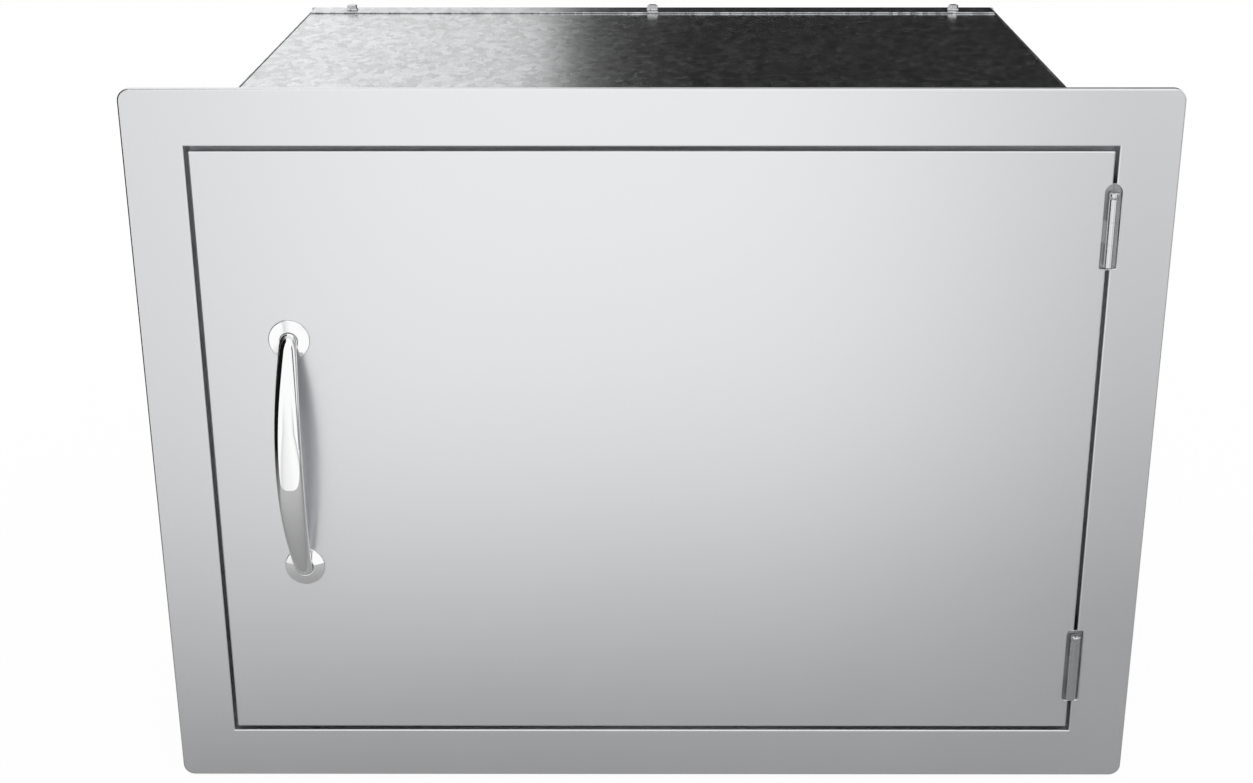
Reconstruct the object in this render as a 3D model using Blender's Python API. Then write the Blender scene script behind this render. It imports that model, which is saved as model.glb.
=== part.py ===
"""Built-in dry storage pantry cabinet.

A flush, double-skinned stainless door hangs on two curled hinges in a flanged stainless face frame,
and a galvanised box with one shelf stands behind it. Lengths are in metres, with X to the right,
Y into the wall and Z up. The origin lies on the rear rim of the flange's lip, at the middle of its
bottom edge, where the cabinet rests against the wall.
"""

from math import atan2, copysign, cos, pi, radians, sin, tan

import bmesh
import bpy
from mathutils import Matrix, Vector

# Clearances shared by the whole cabinet
SEAT_GAP = 0.0003
DOOR_SIDE_GAP = 0.0022
DOOR_END_GAP = 0.0029
CUT_OVERRUN = 0.004

# Face frame
FLANGE_WIDTH = 0.6858
FLANGE_HEIGHT = 0.508
FLANGE_SIDE_BORDER = 0.0402
FLANGE_END_BORDER = 0.0377
FLANGE_CORNER_RADIUS = 0.008
FLANGE_LIP_DEPTH = 0.005
FACE_SHEET = 0.001
FACE_BEND_RADIUS = 0.0002
MITRE_RADIUS = 0.0003
STOP_WIDTH = 0.014

# Door
DOOR_DEPTH = 0.017
DOOR_CORNER_RADIUS = 0.0012
LINER_SHEET = 0.0009
LINER_FOLD = 0.011

# Gasket on the stop
GASKET_WIDTH = 0.009
GASKET_THICKNESS = 0.0036
GASKET_HEEL = 0.001

# Box behind the frame
BODY_DEPTH = 0.514
BODY_SHEET = 0.0009
BODY_BEND_RADIUS = 0.0004
PANEL_FOLD = 0.015
SIDE_FLANGE = 0.0145
BACK_FOLD = 0.0265
BACK_CORNER_RADIUS = 0.0015
BACK_CORNER_RELIEF = 0.003

# Fixing holes in the box's sides, for screws into the surround
FIXING_HOLE_RADIUS = 0.0028
FIXING_HOLE_BACKSET = 0.05
FIXING_HOLE_SHARES = (-0.66, 0.66)

# Hex washer head screws round the back panel
BACK_SCREW_EDGE = 0.013
BACK_SCREW_ROW_SHARES = (-0.879, 0, 0.879)
BACK_SCREW_SIDE_SHARES = (-0.56, 0.56)
BACK_SCREW_RADIUS = 0.0024
BACK_SCREW_LENGTH = 0.0127
BACK_SCREW_TIP = 0.003
HEX_ACROSS_FLATS = 0.0079
HEX_HEIGHT = 0.003
HEX_CHAMFER = 0.0005
WASHER_RADIUS = 0.0052
WASHER_THICKNESS = 0.001

# Shelf and its rails
SHELF_HEIGHT_SHARE = 0.5
SHELF_FOLD = 0.02
SHELF_SETBACK = 0.03
SHELF_BACK_GAP = 0.02
SHELF_CORNER_RADIUS = 0.002
SHELF_SIDE_GAP = 0.0005
RAIL_WIDTH = 0.016
RAIL_HEIGHT = 0.014

# Hinges
HINGE_LENGTH = 0.0522
HINGE_INSET = 0.0254
HINGE_PROUD = 0.00125
HINGE_SHEET = 0.0014
PIN_RADIUS = 0.0019
PIN_CLEARANCE = 0.0002
PIN_CAP_HEIGHT = 0.0046
PIN_CAP_DOME = 0.0022
PIN_FOOT_RADIUS = 0.0029
PIN_FOOT_HEIGHT = 0.0012
CURL_SWEEP = radians(290)
KNUCKLE_COUNT = 3
KNUCKLE_CLEARANCE = 0.0004
JOG_START = 0.0005
JOG_LENGTH = 0.004
FRAME_TAIL_MARGIN = 0.002
DOOR_TAIL_MARGIN = 0.0009
POCKET_SIDE_CLEARANCE = 0.00175
POCKET_TOP_CLEARANCE = 0.0042
POCKET_FOOT_CLEARANCE = 0.0006
POCKET_FLOOR_CLEARANCE = 0.0005
LEAF_NOTCH_CLEARANCE = 0.0005

# Handle: its stand-off is that of the bar's middle line from the door's face
HANDLE_EDGE_DISTANCE = 0.0575
HANDLE_SPAN = 0.168
HANDLE_STANDOFF = 0.031
HANDLE_FOOT_WIDTH = 0.0115
HANDLE_END_THICKNESS = 0.007
HANDLE_MIDDLE_WIDTH = 0.0185
HANDLE_MIDDLE_THICKNESS = 0.0085
HANDLE_SQUARENESS = 0.7
ROSETTE_RADIUS = 0.0139
ROSETTE_RIM = 0.001
ROSETTE_DOME = 0.0014
HANDLE_SCREW_RADIUS = 0.002
HANDLE_SCREW_BITE = 0.005
HANDLE_SCREW_HEAD_RADIUS = 0.0042
HANDLE_SCREW_HEAD_HEIGHT = 0.0024

# Magnetic catches and their strikes
CATCH_HEIGHT_SHARES = {"upper": 0.56, "lower": -0.56}
CATCH_LENGTH = 0.046
CATCH_WIDTH = 0.014
CATCH_DEPTH = 0.012
CATCH_SIDE_GAP = 0.0005
CATCH_EAR_REACH = 0.011
CATCH_EAR_THICKNESS = 0.0025
CATCH_EDGE_BEVEL = 0.0005
CATCH_SCREW_SHARES = {"top": 0.62, "bottom": -0.62}
CATCH_SCREW_RADIUS = 0.0015
CATCH_SCREW_HEAD_RADIUS = 0.0029
CATCH_SCREW_HEAD_HEIGHT = 0.0019
MAGNET_LENGTH = 0.033
MAGNET_WIDTH = 0.0084
MAGNET_DEPTH = 0.0058
MAGNET_PROUD = 0.0004
STRIKE_LENGTH = 0.04
STRIKE_WIDTH = 0.013
STRIKE_SHEET = 0.0012
STRIKE_CORNER_RADIUS = 0.002
STRIKE_SCREW_SHARES = {"top": 0.62, "bottom": -0.62}
STRIKE_SCREW_RADIUS = 0.0014
STRIKE_SCREW_HEAD_RADIUS = 0.0026
STRIKE_SCREW_LENGTH = 0.006

# How finely round shapes are divided
CORNER_STEPS = 5
BEND_STEPS = 3
CURL_STEPS = 20
DOME_STEPS = 4
SCREW_SIDES = 12
ROUND_SIDES = 24
HANDLE_SIDES = 20
HANDLE_STEPS = 28
SMOOTH_ANGLE = radians(32)

# Places that follow from the sizes above: half widths and half heights from the flange's middle
CENTRE_Z = (FLANGE_HEIGHT - FACE_SHEET) / 2
OPENING_HALF_X = FLANGE_WIDTH / 2 - FLANGE_SIDE_BORDER
OPENING_HALF_Z = FLANGE_HEIGHT / 2 - FLANGE_END_BORDER
DOOR_HALF_X = OPENING_HALF_X - DOOR_SIDE_GAP
DOOR_HALF_Z = OPENING_HALF_Z - DOOR_END_GAP
STOP_EDGE_X = OPENING_HALF_X - STOP_WIDTH
WALL_OUT_X = OPENING_HALF_X + FACE_SHEET
WALL_IN_X = WALL_OUT_X - BODY_SHEET
ROOF_OUT_Z = OPENING_HALF_Z + FACE_SHEET
ROOF_IN_Z = ROOF_OUT_Z - BODY_SHEET
BACK_OUT_X = WALL_OUT_X + SEAT_GAP + BODY_SHEET
BACK_OUT_Z = ROOF_OUT_Z + SEAT_GAP + BODY_SHEET

# The same for depths, from the wall's face
FACE_Y = -FLANGE_LIP_DEPTH
DOOR_BACK_Y = FACE_Y + DOOR_DEPTH
GASKET_FRONT_Y = DOOR_BACK_Y + SEAT_GAP
STOP_FRONT_Y = GASKET_FRONT_Y + GASKET_THICKNESS + SEAT_GAP
STOP_BACK_Y = STOP_FRONT_Y + FACE_SHEET
BODY_FRONT_Y = STOP_BACK_Y + SEAT_GAP
BODY_BACK_Y = FACE_Y + BODY_DEPTH
PANEL_BACK_Y = BODY_BACK_Y - BODY_SHEET - SEAT_GAP
BACK_SCREW_Y = BODY_BACK_Y - BACK_SCREW_EDGE

# The same for the hinges, the handle and the catches
HINGE_X = OPENING_HALF_X - DOOR_SIDE_GAP / 2
HINGE_Y = FACE_Y - HINGE_PROUD
BARREL_BORE = PIN_RADIUS + PIN_CLEARANCE
BARREL_RADIUS = BARREL_BORE + HINGE_SHEET
LEAF_HEIGHT = HINGE_LENGTH - PIN_CAP_HEIGHT - PIN_FOOT_HEIGHT - 2 * SEAT_GAP
KNUCKLE_HEIGHT = (LEAF_HEIGHT - (KNUCKLE_COUNT - 1) * SEAT_GAP) / KNUCKLE_COUNT
TAIL_OFFSET = DOOR_SIDE_GAP / 2 + FACE_SHEET + SEAT_GAP + HINGE_SHEET / 2
POCKET_FLOOR_Y = HINGE_Y + JOG_START + JOG_LENGTH + POCKET_FLOOR_CLEARANCE
FRAME_TAIL_Y = STOP_BACK_Y - FRAME_TAIL_MARGIN
DOOR_TAIL_Y = DOOR_BACK_Y - LINER_SHEET - DOOR_TAIL_MARGIN
HINGE_BASES = {
    "upper": CENTRE_Z + OPENING_HALF_Z - HINGE_INSET - POCKET_TOP_CLEARANCE - HINGE_LENGTH,
    "lower": CENTRE_Z - OPENING_HALF_Z + HINGE_INSET + POCKET_FOOT_CLEARANCE,
}
HANDLE_X = -DOOR_HALF_X + HANDLE_EDGE_DISTANCE
HANDLE_FEET = {"upper": CENTRE_Z + HANDLE_SPAN / 2, "lower": CENTRE_Z - HANDLE_SPAN / 2}
HANDLE_BORE = HANDLE_SCREW_RADIUS + SEAT_GAP
HANDLE_MITRE = (pi / 2 - atan2(2 * HANDLE_STANDOFF, HANDLE_SPAN / 2)) / 2
HANDLE_POST_LENGTH = ROSETTE_RIM + ROSETTE_DOME + SEAT_GAP
HANDLE_BEND_STANDOFF = HANDLE_POST_LENGTH + HANDLE_FOOT_WIDTH / 2 * tan(HANDLE_MITRE)
STRIKE_BACK_Y = DOOR_BACK_Y + SEAT_GAP + STRIKE_SHEET
MAGNET_FRONT_Y = STRIKE_BACK_Y + SEAT_GAP
CATCH_FRONT_Y = MAGNET_FRONT_Y + MAGNET_PROUD
CATCH_BACK_Y = CATCH_FRONT_Y + CATCH_DEPTH
CATCH_EAR_FRONT_Y = BODY_FRONT_Y + BODY_SHEET + SEAT_GAP
CATCH_EAR_BACK_Y = CATCH_EAR_FRONT_Y + CATCH_EAR_THICKNESS
CATCH_OUTER_X = -STOP_EDGE_X + CATCH_SIDE_GAP
CATCH_MIDDLE_X = CATCH_OUTER_X + CATCH_WIDTH / 2
CATCH_SCREW_X = -STOP_EDGE_X - CATCH_EAR_REACH / 2

# Directions in which a piece drawn upright, along Z, is laid
UPRIGHT = (0, 0, 0)
UPSIDE_DOWN = (pi, 0, 0)
FACING_FRONT = (pi / 2, 0, 0)
FACING_BACK = (-pi / 2, 0, 0)
FACING_LEFT = (0, -pi / 2, 0)
FACING_RIGHT = (0, pi / 2, 0)


def clear_scene():
    """Remove whatever the file held."""
    for thing in list(bpy.data.objects):
        bpy.data.objects.remove(thing, do_unlink=True)


def finish(name, colour, roughness, metallic):
    """A material with the finish's colour, roughness and metallic value."""
    material = bpy.data.materials.new(name)
    material.use_nodes = True
    shader = material.node_tree.nodes["Principled BSDF"]
    shader.inputs["Base Color"].default_value = (*colour, 1)
    shader.inputs["Roughness"].default_value = roughness
    shader.inputs["Metallic"].default_value = metallic
    return material


def left_of(direction):
    """The direction a quarter turn to the left, in the plane."""
    return Vector((-direction.y, direction.x))


def arc(centre, radius, start, sweep, steps):
    """Points along an arc, both ends included."""
    angles = [start + sweep * step / steps for step in range(steps + 1)]
    return [Vector((centre[0] + radius * cos(a), centre[1] + radius * sin(a))) for a in angles]


def bent_path(corners, radius):
    """The middle line of a bent sheet: the corners given, each rounded to the radius."""
    corners = [Vector(corner) for corner in corners]
    path = [corners[0]]
    for before, corner, after in zip(corners, corners[1:], corners[2:]):
        came = (corner - before).normalized()
        goes = (after - corner).normalized()
        turn = atan2(came.cross(goes), came.dot(goes))
        inward = left_of(came) * copysign(radius, turn)
        centre = corner - came * radius * tan(abs(turn) / 2) + inward
        for step in range(BEND_STEPS + 1):
            path.append(centre - Matrix.Rotation(turn * step / BEND_STEPS, 2) @ inward)
    path.append(corners[-1])
    return path


def sheet_outline(path, sheet):
    """The outline of a sheet along its middle line: the left side out, the right side back."""
    left_side, right_side = [], []
    for before, point, after in zip([None] + path[:-1], path, path[1:] + [None]):
        came = (point - before).normalized() if before else (after - point).normalized()
        goes = (after - point).normalized() if after else came
        across = left_of(came + goes).normalized()
        reach = sheet / 2 / across.dot(left_of(goes))
        left_side.append(point + across * reach)
        right_side.append(point - across * reach)
    return left_side + right_side[::-1]


def rounded_rectangle(half_width, half_height, radius):
    """A loop of points round a rectangle with rounded corners."""
    loop = []
    for quarter, (across, up) in enumerate(((1, 1), (-1, 1), (-1, -1), (1, -1))):
        centre = (across * (half_width - radius), up * (half_height - radius))
        loop += arc(centre, radius, quarter * pi / 2, pi / 2, CORNER_STEPS)
    return loop


def framed_loops(outline, half_width, half_height, radius, side_extra=0):
    """Loops that carry an outline of (inset, depth) points round a rounded rectangle.

    The outline's inner half lies further in at the two sides, by the extra given.
    """
    middle = max(inset for inset, depth in outline) / 2
    loops = []
    for inset, depth in outline:
        extra = side_extra if inset > middle else 0
        corner = max(radius - inset, MITRE_RADIUS)
        loop = rounded_rectangle(half_width - inset - extra, half_height - inset, corner)
        loops.append([(point.x, point.y, -depth) for point in loop])
    return loops


def circle(radius, height, sides):
    """A level ring of points about the Z axis."""
    angles = [2 * pi * side / sides for side in range(sides)]
    return [(radius * cos(a), radius * sin(a), height) for a in angles]


def hexagon(across_flats, height, sides):
    """A level hexagonal ring with as many points as a circle of that many sides."""
    ring = []
    for side in range(sides):
        angle = 2 * pi * side / sides
        off_flat = (angle + pi / 6) % (pi / 3) - pi / 6
        radius = across_flats / 2 / cos(off_flat)
        ring.append((radius * cos(angle), radius * sin(angle), height))
    return ring


def skin(loops, closed):
    """A mesh over a row of loops: joined end to end if closed, and otherwise capped."""
    shell = bmesh.new()
    rings = [[shell.verts.new(point) for point in loop] for loop in loops]
    pairs = list(zip(rings, rings[1:]))
    if closed:
        pairs.append((rings[-1], rings[0]))
    else:
        shell.faces.new(rings[0])
        shell.faces.new(rings[-1])
    for near, far in pairs:
        for i in range(len(near)):
            j = (i + 1) % len(near)
            shell.faces.new((near[i], near[j], far[j], far[i]))
    bmesh.ops.recalc_face_normals(shell, faces=shell.faces)
    return shell


def prism(outline, low, high):
    """A mesh of an outline extruded along Z between two heights."""
    loops = [[(point[0], point[1], height) for point in outline] for height in (low, high)]
    return skin(loops, closed=False)


def block(low, high):
    """A mesh of a plain box between two corners."""
    outline = [(low[0], low[1]), (high[0], low[1]), (high[0], high[1]), (low[0], high[1])]
    return prism(outline, low[2], high[2])


def merged(shells):
    """One mesh that holds several separate ones."""
    whole = bmesh.new()
    for shell in shells:
        mesh = bpy.data.meshes.new("part_of_cutter")
        shell.to_mesh(mesh)
        shell.free()
        whole.from_mesh(mesh)
        bpy.data.meshes.remove(mesh)
    return whole


def moved(shell, place, turn=UPRIGHT):
    """The same mesh, turned and then moved."""
    for axis, angle in zip("XYZ", turn):
        bmesh.ops.rotate(shell, verts=shell.verts, matrix=Matrix.Rotation(angle, 3, axis))
    bmesh.ops.translate(shell, verts=shell.verts, vec=place)
    return shell


class Assembly:
    """Puts meshes into the scene as named pieces, on the cabinet or on the door."""

    def __init__(self):
        self.door = bpy.data.objects.new("door_hinge_axis", None)
        self.door.location = (HINGE_X, HINGE_Y, CENTRE_Z)
        bpy.context.scene.collection.objects.link(self.door)

    def add(self, name, shell, look, place=(0, 0, 0), turn=UPRIGHT, on_door=False):
        """Add a piece, with its mesh drawn about its own origin."""
        mesh = bpy.data.meshes.new(name)
        shell.to_mesh(mesh)
        shell.free()
        mesh.materials.append(finish(f"{name}_finish", *look))
        mesh.shade_smooth()
        mesh.set_sharp_from_angle(angle=SMOOTH_ANGLE)
        piece = bpy.data.objects.new(name, mesh)
        piece.location = place
        piece.rotation_euler = turn
        if on_door:
            piece.parent = self.door
            piece.location = Vector(place) - self.door.location
        bpy.context.scene.collection.objects.link(piece)
        return piece

    def cutter(self, name, shell):
        """Add a shape that only cuts others, drawn in place."""
        mesh = bpy.data.meshes.new(name)
        shell.to_mesh(mesh)
        shell.free()
        tool = bpy.data.objects.new(name, mesh)
        tool.hide_render = True
        tool.display_type = "WIRE"
        bpy.context.scene.collection.objects.link(tool)
        return tool


def cut(piece, *tools):
    """Cut the tools' shapes out of a piece."""
    for tool in tools:
        boolean = piece.modifiers.new(tool.name, "BOOLEAN")
        boolean.operation = "DIFFERENCE"
        boolean.solver = "EXACT"
        boolean.object = tool


def cylinder(radius, low, high, sides):
    """A closed cylinder about the Z axis."""
    return skin([circle(radius, low, sides), circle(radius, high, sides)], closed=False)


def dome(radius, foot, rise, steps):
    """Profile points of a domed head, from its rim up to a small flat at its crown."""
    rows = [pi / 2 * step / (steps + 1) for step in range(steps + 1)]
    return [(radius * cos(row), foot + rise * sin(row)) for row in rows]


def turned(profile, sides, closed=False):
    """A mesh turned from (radius, height) points about the Z axis."""
    return skin([circle(radius, height, sides) for radius, height in profile], closed)


def hex_screw():
    """A tapping screw with a hexagonal head on a washer; its seat is at height zero."""
    shoulder = BACK_SCREW_TIP - BACK_SCREW_LENGTH
    washer_top = WASHER_THICKNESS
    head_top = WASHER_THICKNESS + HEX_HEIGHT
    narrowed = HEX_ACROSS_FLATS - 2 * HEX_CHAMFER
    loops = [
        circle(HEX_CHAMFER, -BACK_SCREW_LENGTH, SCREW_SIDES),
        circle(BACK_SCREW_RADIUS, shoulder, SCREW_SIDES),
        circle(BACK_SCREW_RADIUS, 0, SCREW_SIDES),
        circle(WASHER_RADIUS, 0, SCREW_SIDES),
        circle(WASHER_RADIUS, washer_top, SCREW_SIDES),
        hexagon(HEX_ACROSS_FLATS, washer_top, SCREW_SIDES),
        hexagon(HEX_ACROSS_FLATS, head_top - HEX_CHAMFER, SCREW_SIDES),
        hexagon(narrowed, head_top, SCREW_SIDES),
    ]
    return skin(loops, closed=False)


def pan_screw(shank_radius, length, head_radius, head_height):
    """A machine screw with a domed head; its seat is at height zero."""
    profile = [(shank_radius, -length), (shank_radius, 0)]
    profile += dome(head_radius, 0, head_height, DOME_STEPS)
    return turned(profile, SCREW_SIDES)


def back_screw_places():
    """Name, place and direction of each screw round the back panel."""
    places = []
    for share, word in zip(BACK_SCREW_ROW_SHARES, ("left", "middle", "right")):
        x = share * WALL_OUT_X
        lift = BACK_OUT_Z + SEAT_GAP
        places.append((f"back_screw_top_{word}", (x, BACK_SCREW_Y, CENTRE_Z + lift), UPRIGHT))
        low = (x, BACK_SCREW_Y, CENTRE_Z - lift)
        places.append((f"back_screw_bottom_{word}", low, UPSIDE_DOWN))
    for share, word in zip(BACK_SCREW_SIDE_SHARES, ("lower", "upper")):
        z = CENTRE_Z + share * ROOF_OUT_Z
        out = BACK_OUT_X + SEAT_GAP
        places.append((f"back_screw_left_{word}", (-out, BACK_SCREW_Y, z), FACING_LEFT))
        places.append((f"back_screw_right_{word}", (out, BACK_SCREW_Y, z), FACING_RIGHT))
    return places


def hinge_pocket(base):
    """Cutter for the slot, rounded at both ends, that a hinge barrel stands in."""
    half_width = BARREL_RADIUS + POCKET_SIDE_CLEARANCE
    low = base - POCKET_FOOT_CLEARANCE
    high = base + HINGE_LENGTH + POCKET_TOP_CLEARANCE
    half_height = (high - low) / 2
    ends = arc((0, half_height - half_width), half_width, 0, pi, 2 * CORNER_STEPS)
    ends += arc((0, half_width - half_height), half_width, pi, pi, 2 * CORNER_STEPS)
    shell = prism(ends, -POCKET_FLOOR_Y, CUT_OVERRUN - FACE_Y)
    return moved(shell, (HINGE_X, 0, (low + high) / 2), FACING_FRONT)


def knuckle_span(base, index):
    """Lowest and highest point of a knuckle, counted from the bottom."""
    low = base + PIN_FOOT_HEIGHT + SEAT_GAP + index * (KNUCKLE_HEIGHT + SEAT_GAP)
    return low, low + KNUCKLE_HEIGHT


def knuckle_notches(base, indices):
    """Cutter that clears a leaf for the other leaf's knuckles."""
    radius = BARREL_RADIUS + KNUCKLE_CLEARANCE
    shells = []
    for index in indices:
        low, high = knuckle_span(base, index)
        low -= CUT_OVERRUN if index == 0 else SEAT_GAP
        high += CUT_OVERRUN if index == KNUCKLE_COUNT - 1 else SEAT_GAP
        shells.append(moved(cylinder(radius, low, high, ROUND_SIDES), (HINGE_X, HINGE_Y, 0)))
    return merged(shells)


def hinge_leaf(side, tail_y):
    """A leaf curled round the pin, with its tail set over to lie behind the sheet that carries it."""
    middle = BARREL_BORE + HINGE_SHEET / 2
    path = arc((0, 0), middle, -CURL_SWEEP, CURL_SWEEP, CURL_STEPS)
    path.append(Vector((middle, JOG_START)))
    path.append(Vector((TAIL_OFFSET, JOG_START + JOG_LENGTH)))
    path.append(Vector((TAIL_OFFSET, tail_y - HINGE_Y)))
    outline = [(side * point.x, point.y) for point in sheet_outline(path, HINGE_SHEET)]
    return prism(outline, 0, LEAF_HEIGHT)


def hinge_pin():
    """The pin, with a domed cap above the barrel and a riveted foot below it."""
    shoulder = HINGE_LENGTH - PIN_CAP_HEIGHT
    foot = dome(PIN_FOOT_RADIUS, -PIN_FOOT_HEIGHT, PIN_FOOT_HEIGHT, DOME_STEPS)
    profile = [(radius, -height) for radius, height in reversed(foot)]
    profile += [(PIN_RADIUS, PIN_FOOT_HEIGHT), (PIN_RADIUS, shoulder)]
    profile.append((BARREL_RADIUS, shoulder))
    profile += dome(BARREL_RADIUS, HINGE_LENGTH - PIN_CAP_DOME, PIN_CAP_DOME, DOME_STEPS)
    return turned(profile, ROUND_SIDES)


def handle_loops():
    """Rings along the bow, from its upper foot to its lower one, in the door face's frame."""
    half_span = HANDLE_SPAN / 2
    rise = HANDLE_STANDOFF - HANDLE_BEND_STANDOFF
    foot = HANDLE_FOOT_WIDTH
    bend = foot / cos(HANDLE_MITRE)
    lean = Vector((-sin(HANDLE_MITRE), cos(HANDLE_MITRE)))
    rings = [(0, half_span, SEAT_GAP, foot, Vector((0, 1)))]
    rings.append((0, half_span, HANDLE_BEND_STANDOFF, bend, lean))
    for step in range(1, HANDLE_STEPS):
        place_share = 1 - 2 * step / HANDLE_STEPS
        share = 1 - place_share**2
        thickness = HANDLE_END_THICKNESS + share * (HANDLE_MIDDLE_THICKNESS - HANDLE_END_THICKNESS)
        run = Vector((-half_span, 2 * rise * place_share)).normalized()
        standoff = HANDLE_BEND_STANDOFF + rise * share
        rings.append((share, half_span * place_share, standoff, thickness, run))
    rings.append((0, -half_span, HANDLE_BEND_STANDOFF, bend, Vector((lean.x, -lean.y))))
    rings.append((0, -half_span, SEAT_GAP, foot, Vector((0, -1))))
    loops = []
    for share, height, standoff, thickness, run in rings:
        width = foot + share * (HANDLE_MIDDLE_WIDTH - foot)
        power = 1 - share * (1 - HANDLE_SQUARENESS)
        loop = []
        for side in range(HANDLE_SIDES):
            angle = 2 * pi * side / HANDLE_SIDES
            across = copysign(abs(cos(angle)) ** power, cos(angle)) * width / 2
            proud = copysign(abs(sin(angle)) ** power, sin(angle)) * thickness / 2
            loop.append((across, height + proud * run.y, standoff - proud * run.x))
        loops.append(loop)
    return loops


def rosette():
    """A domed washer round the foot of a handle post."""
    bore = HANDLE_FOOT_WIDTH / 2 + SEAT_GAP
    rise = ROSETTE_DOME
    profile = [(bore, 0), (ROSETTE_RADIUS, 0), (ROSETTE_RADIUS, ROSETTE_RIM)]
    for step in range(1, DOME_STEPS + 1):
        share = step / DOME_STEPS
        radius = ROSETTE_RADIUS + share * (bore - ROSETTE_RADIUS)
        profile.append((radius, ROSETTE_RIM + rise * sin(share * pi / 2)))
    return turned(profile, ROUND_SIDES, closed=True)


def add_face_frame(assembly, steel, pockets, catch_holes):
    """The flange, with its lip, the return round the opening and the door's stop, in one sheet."""
    half = FACE_SHEET / 2
    corners = [
        (half, 0),
        (half, FACE_Y + half),
        (FLANGE_END_BORDER - half, FACE_Y + half),
        (FLANGE_END_BORDER - half, STOP_FRONT_Y + half),
        (FLANGE_END_BORDER + STOP_WIDTH, STOP_FRONT_Y + half),
    ]
    outline = sheet_outline(bent_path(corners, FACE_BEND_RADIUS + half), FACE_SHEET)
    sizes = (FLANGE_WIDTH / 2, FLANGE_HEIGHT / 2, FLANGE_CORNER_RADIUS)
    loops = framed_loops(outline, *sizes, FLANGE_SIDE_BORDER - FLANGE_END_BORDER)
    shell = skin(loops, closed=True)
    frame = assembly.add("face_frame", shell, steel, (0, 0, CENTRE_Z), FACING_FRONT)
    cut(frame, *pockets, catch_holes)


def add_door_panels(assembly, steel, pockets, leaf_notches, handle_holes, strike_holes):
    """The outer skin folded back round its edges, and the liner nested in it."""
    half = FACE_SHEET / 2
    inset = FACE_SHEET + 2 * FACE_BEND_RADIUS + DOOR_CORNER_RADIUS
    corners = [(inset, FACE_Y + half), (half, FACE_Y + half), (half, DOOR_BACK_Y)]
    outline = sheet_outline(bent_path(corners, FACE_BEND_RADIUS + half), FACE_SHEET)
    loops = framed_loops(outline, DOOR_HALF_X, DOOR_HALF_Z, DOOR_CORNER_RADIUS)
    shell = skin(loops, closed=False)
    at = (0, 0, CENTRE_Z)
    outer = assembly.add("door_outer_panel", shell, steel, at, FACING_FRONT, on_door=True)
    cut(outer, *pockets, handle_holes)

    half = LINER_SHEET / 2
    edge = FACE_SHEET + SEAT_GAP
    corners = [
        (edge + inset, DOOR_BACK_Y - half),
        (edge + half, DOOR_BACK_Y - half),
        (edge + half, DOOR_BACK_Y - LINER_FOLD),
    ]
    outline = sheet_outline(bent_path(corners, FACE_BEND_RADIUS + half), LINER_SHEET)
    loops = framed_loops(outline, DOOR_HALF_X, DOOR_HALF_Z, DOOR_CORNER_RADIUS)
    shell = skin(loops, closed=False)
    inner = assembly.add("door_inner_panel", shell, steel, at, FACING_FRONT, on_door=True)
    cut(inner, leaf_notches, handle_holes, strike_holes)


def add_gasket(assembly, rubber):
    """A strip with a rounded front, in one closed ring on the stop."""
    inset = (STOP_WIDTH - GASKET_WIDTH) / 2
    heel_y = GASKET_FRONT_Y + GASKET_THICKNESS
    centre = (inset + GASKET_WIDTH / 2, heel_y - GASKET_HEEL)
    rise = GASKET_THICKNESS - GASKET_HEEL
    outline = [(inset + GASKET_WIDTH, heel_y), (inset, heel_y)]
    for step in range(2 * DOME_STEPS + 1):
        angle = pi * step / (2 * DOME_STEPS)
        across = centre[0] - GASKET_WIDTH / 2 * cos(angle)
        outline.append((across, centre[1] - rise * sin(angle)))
    loops = framed_loops(outline, OPENING_HALF_X, OPENING_HALF_Z, MITRE_RADIUS)
    shell = skin(loops, closed=True)
    assembly.add("door_gasket", shell, rubber, (0, 0, CENTRE_Z), FACING_FRONT)


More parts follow.
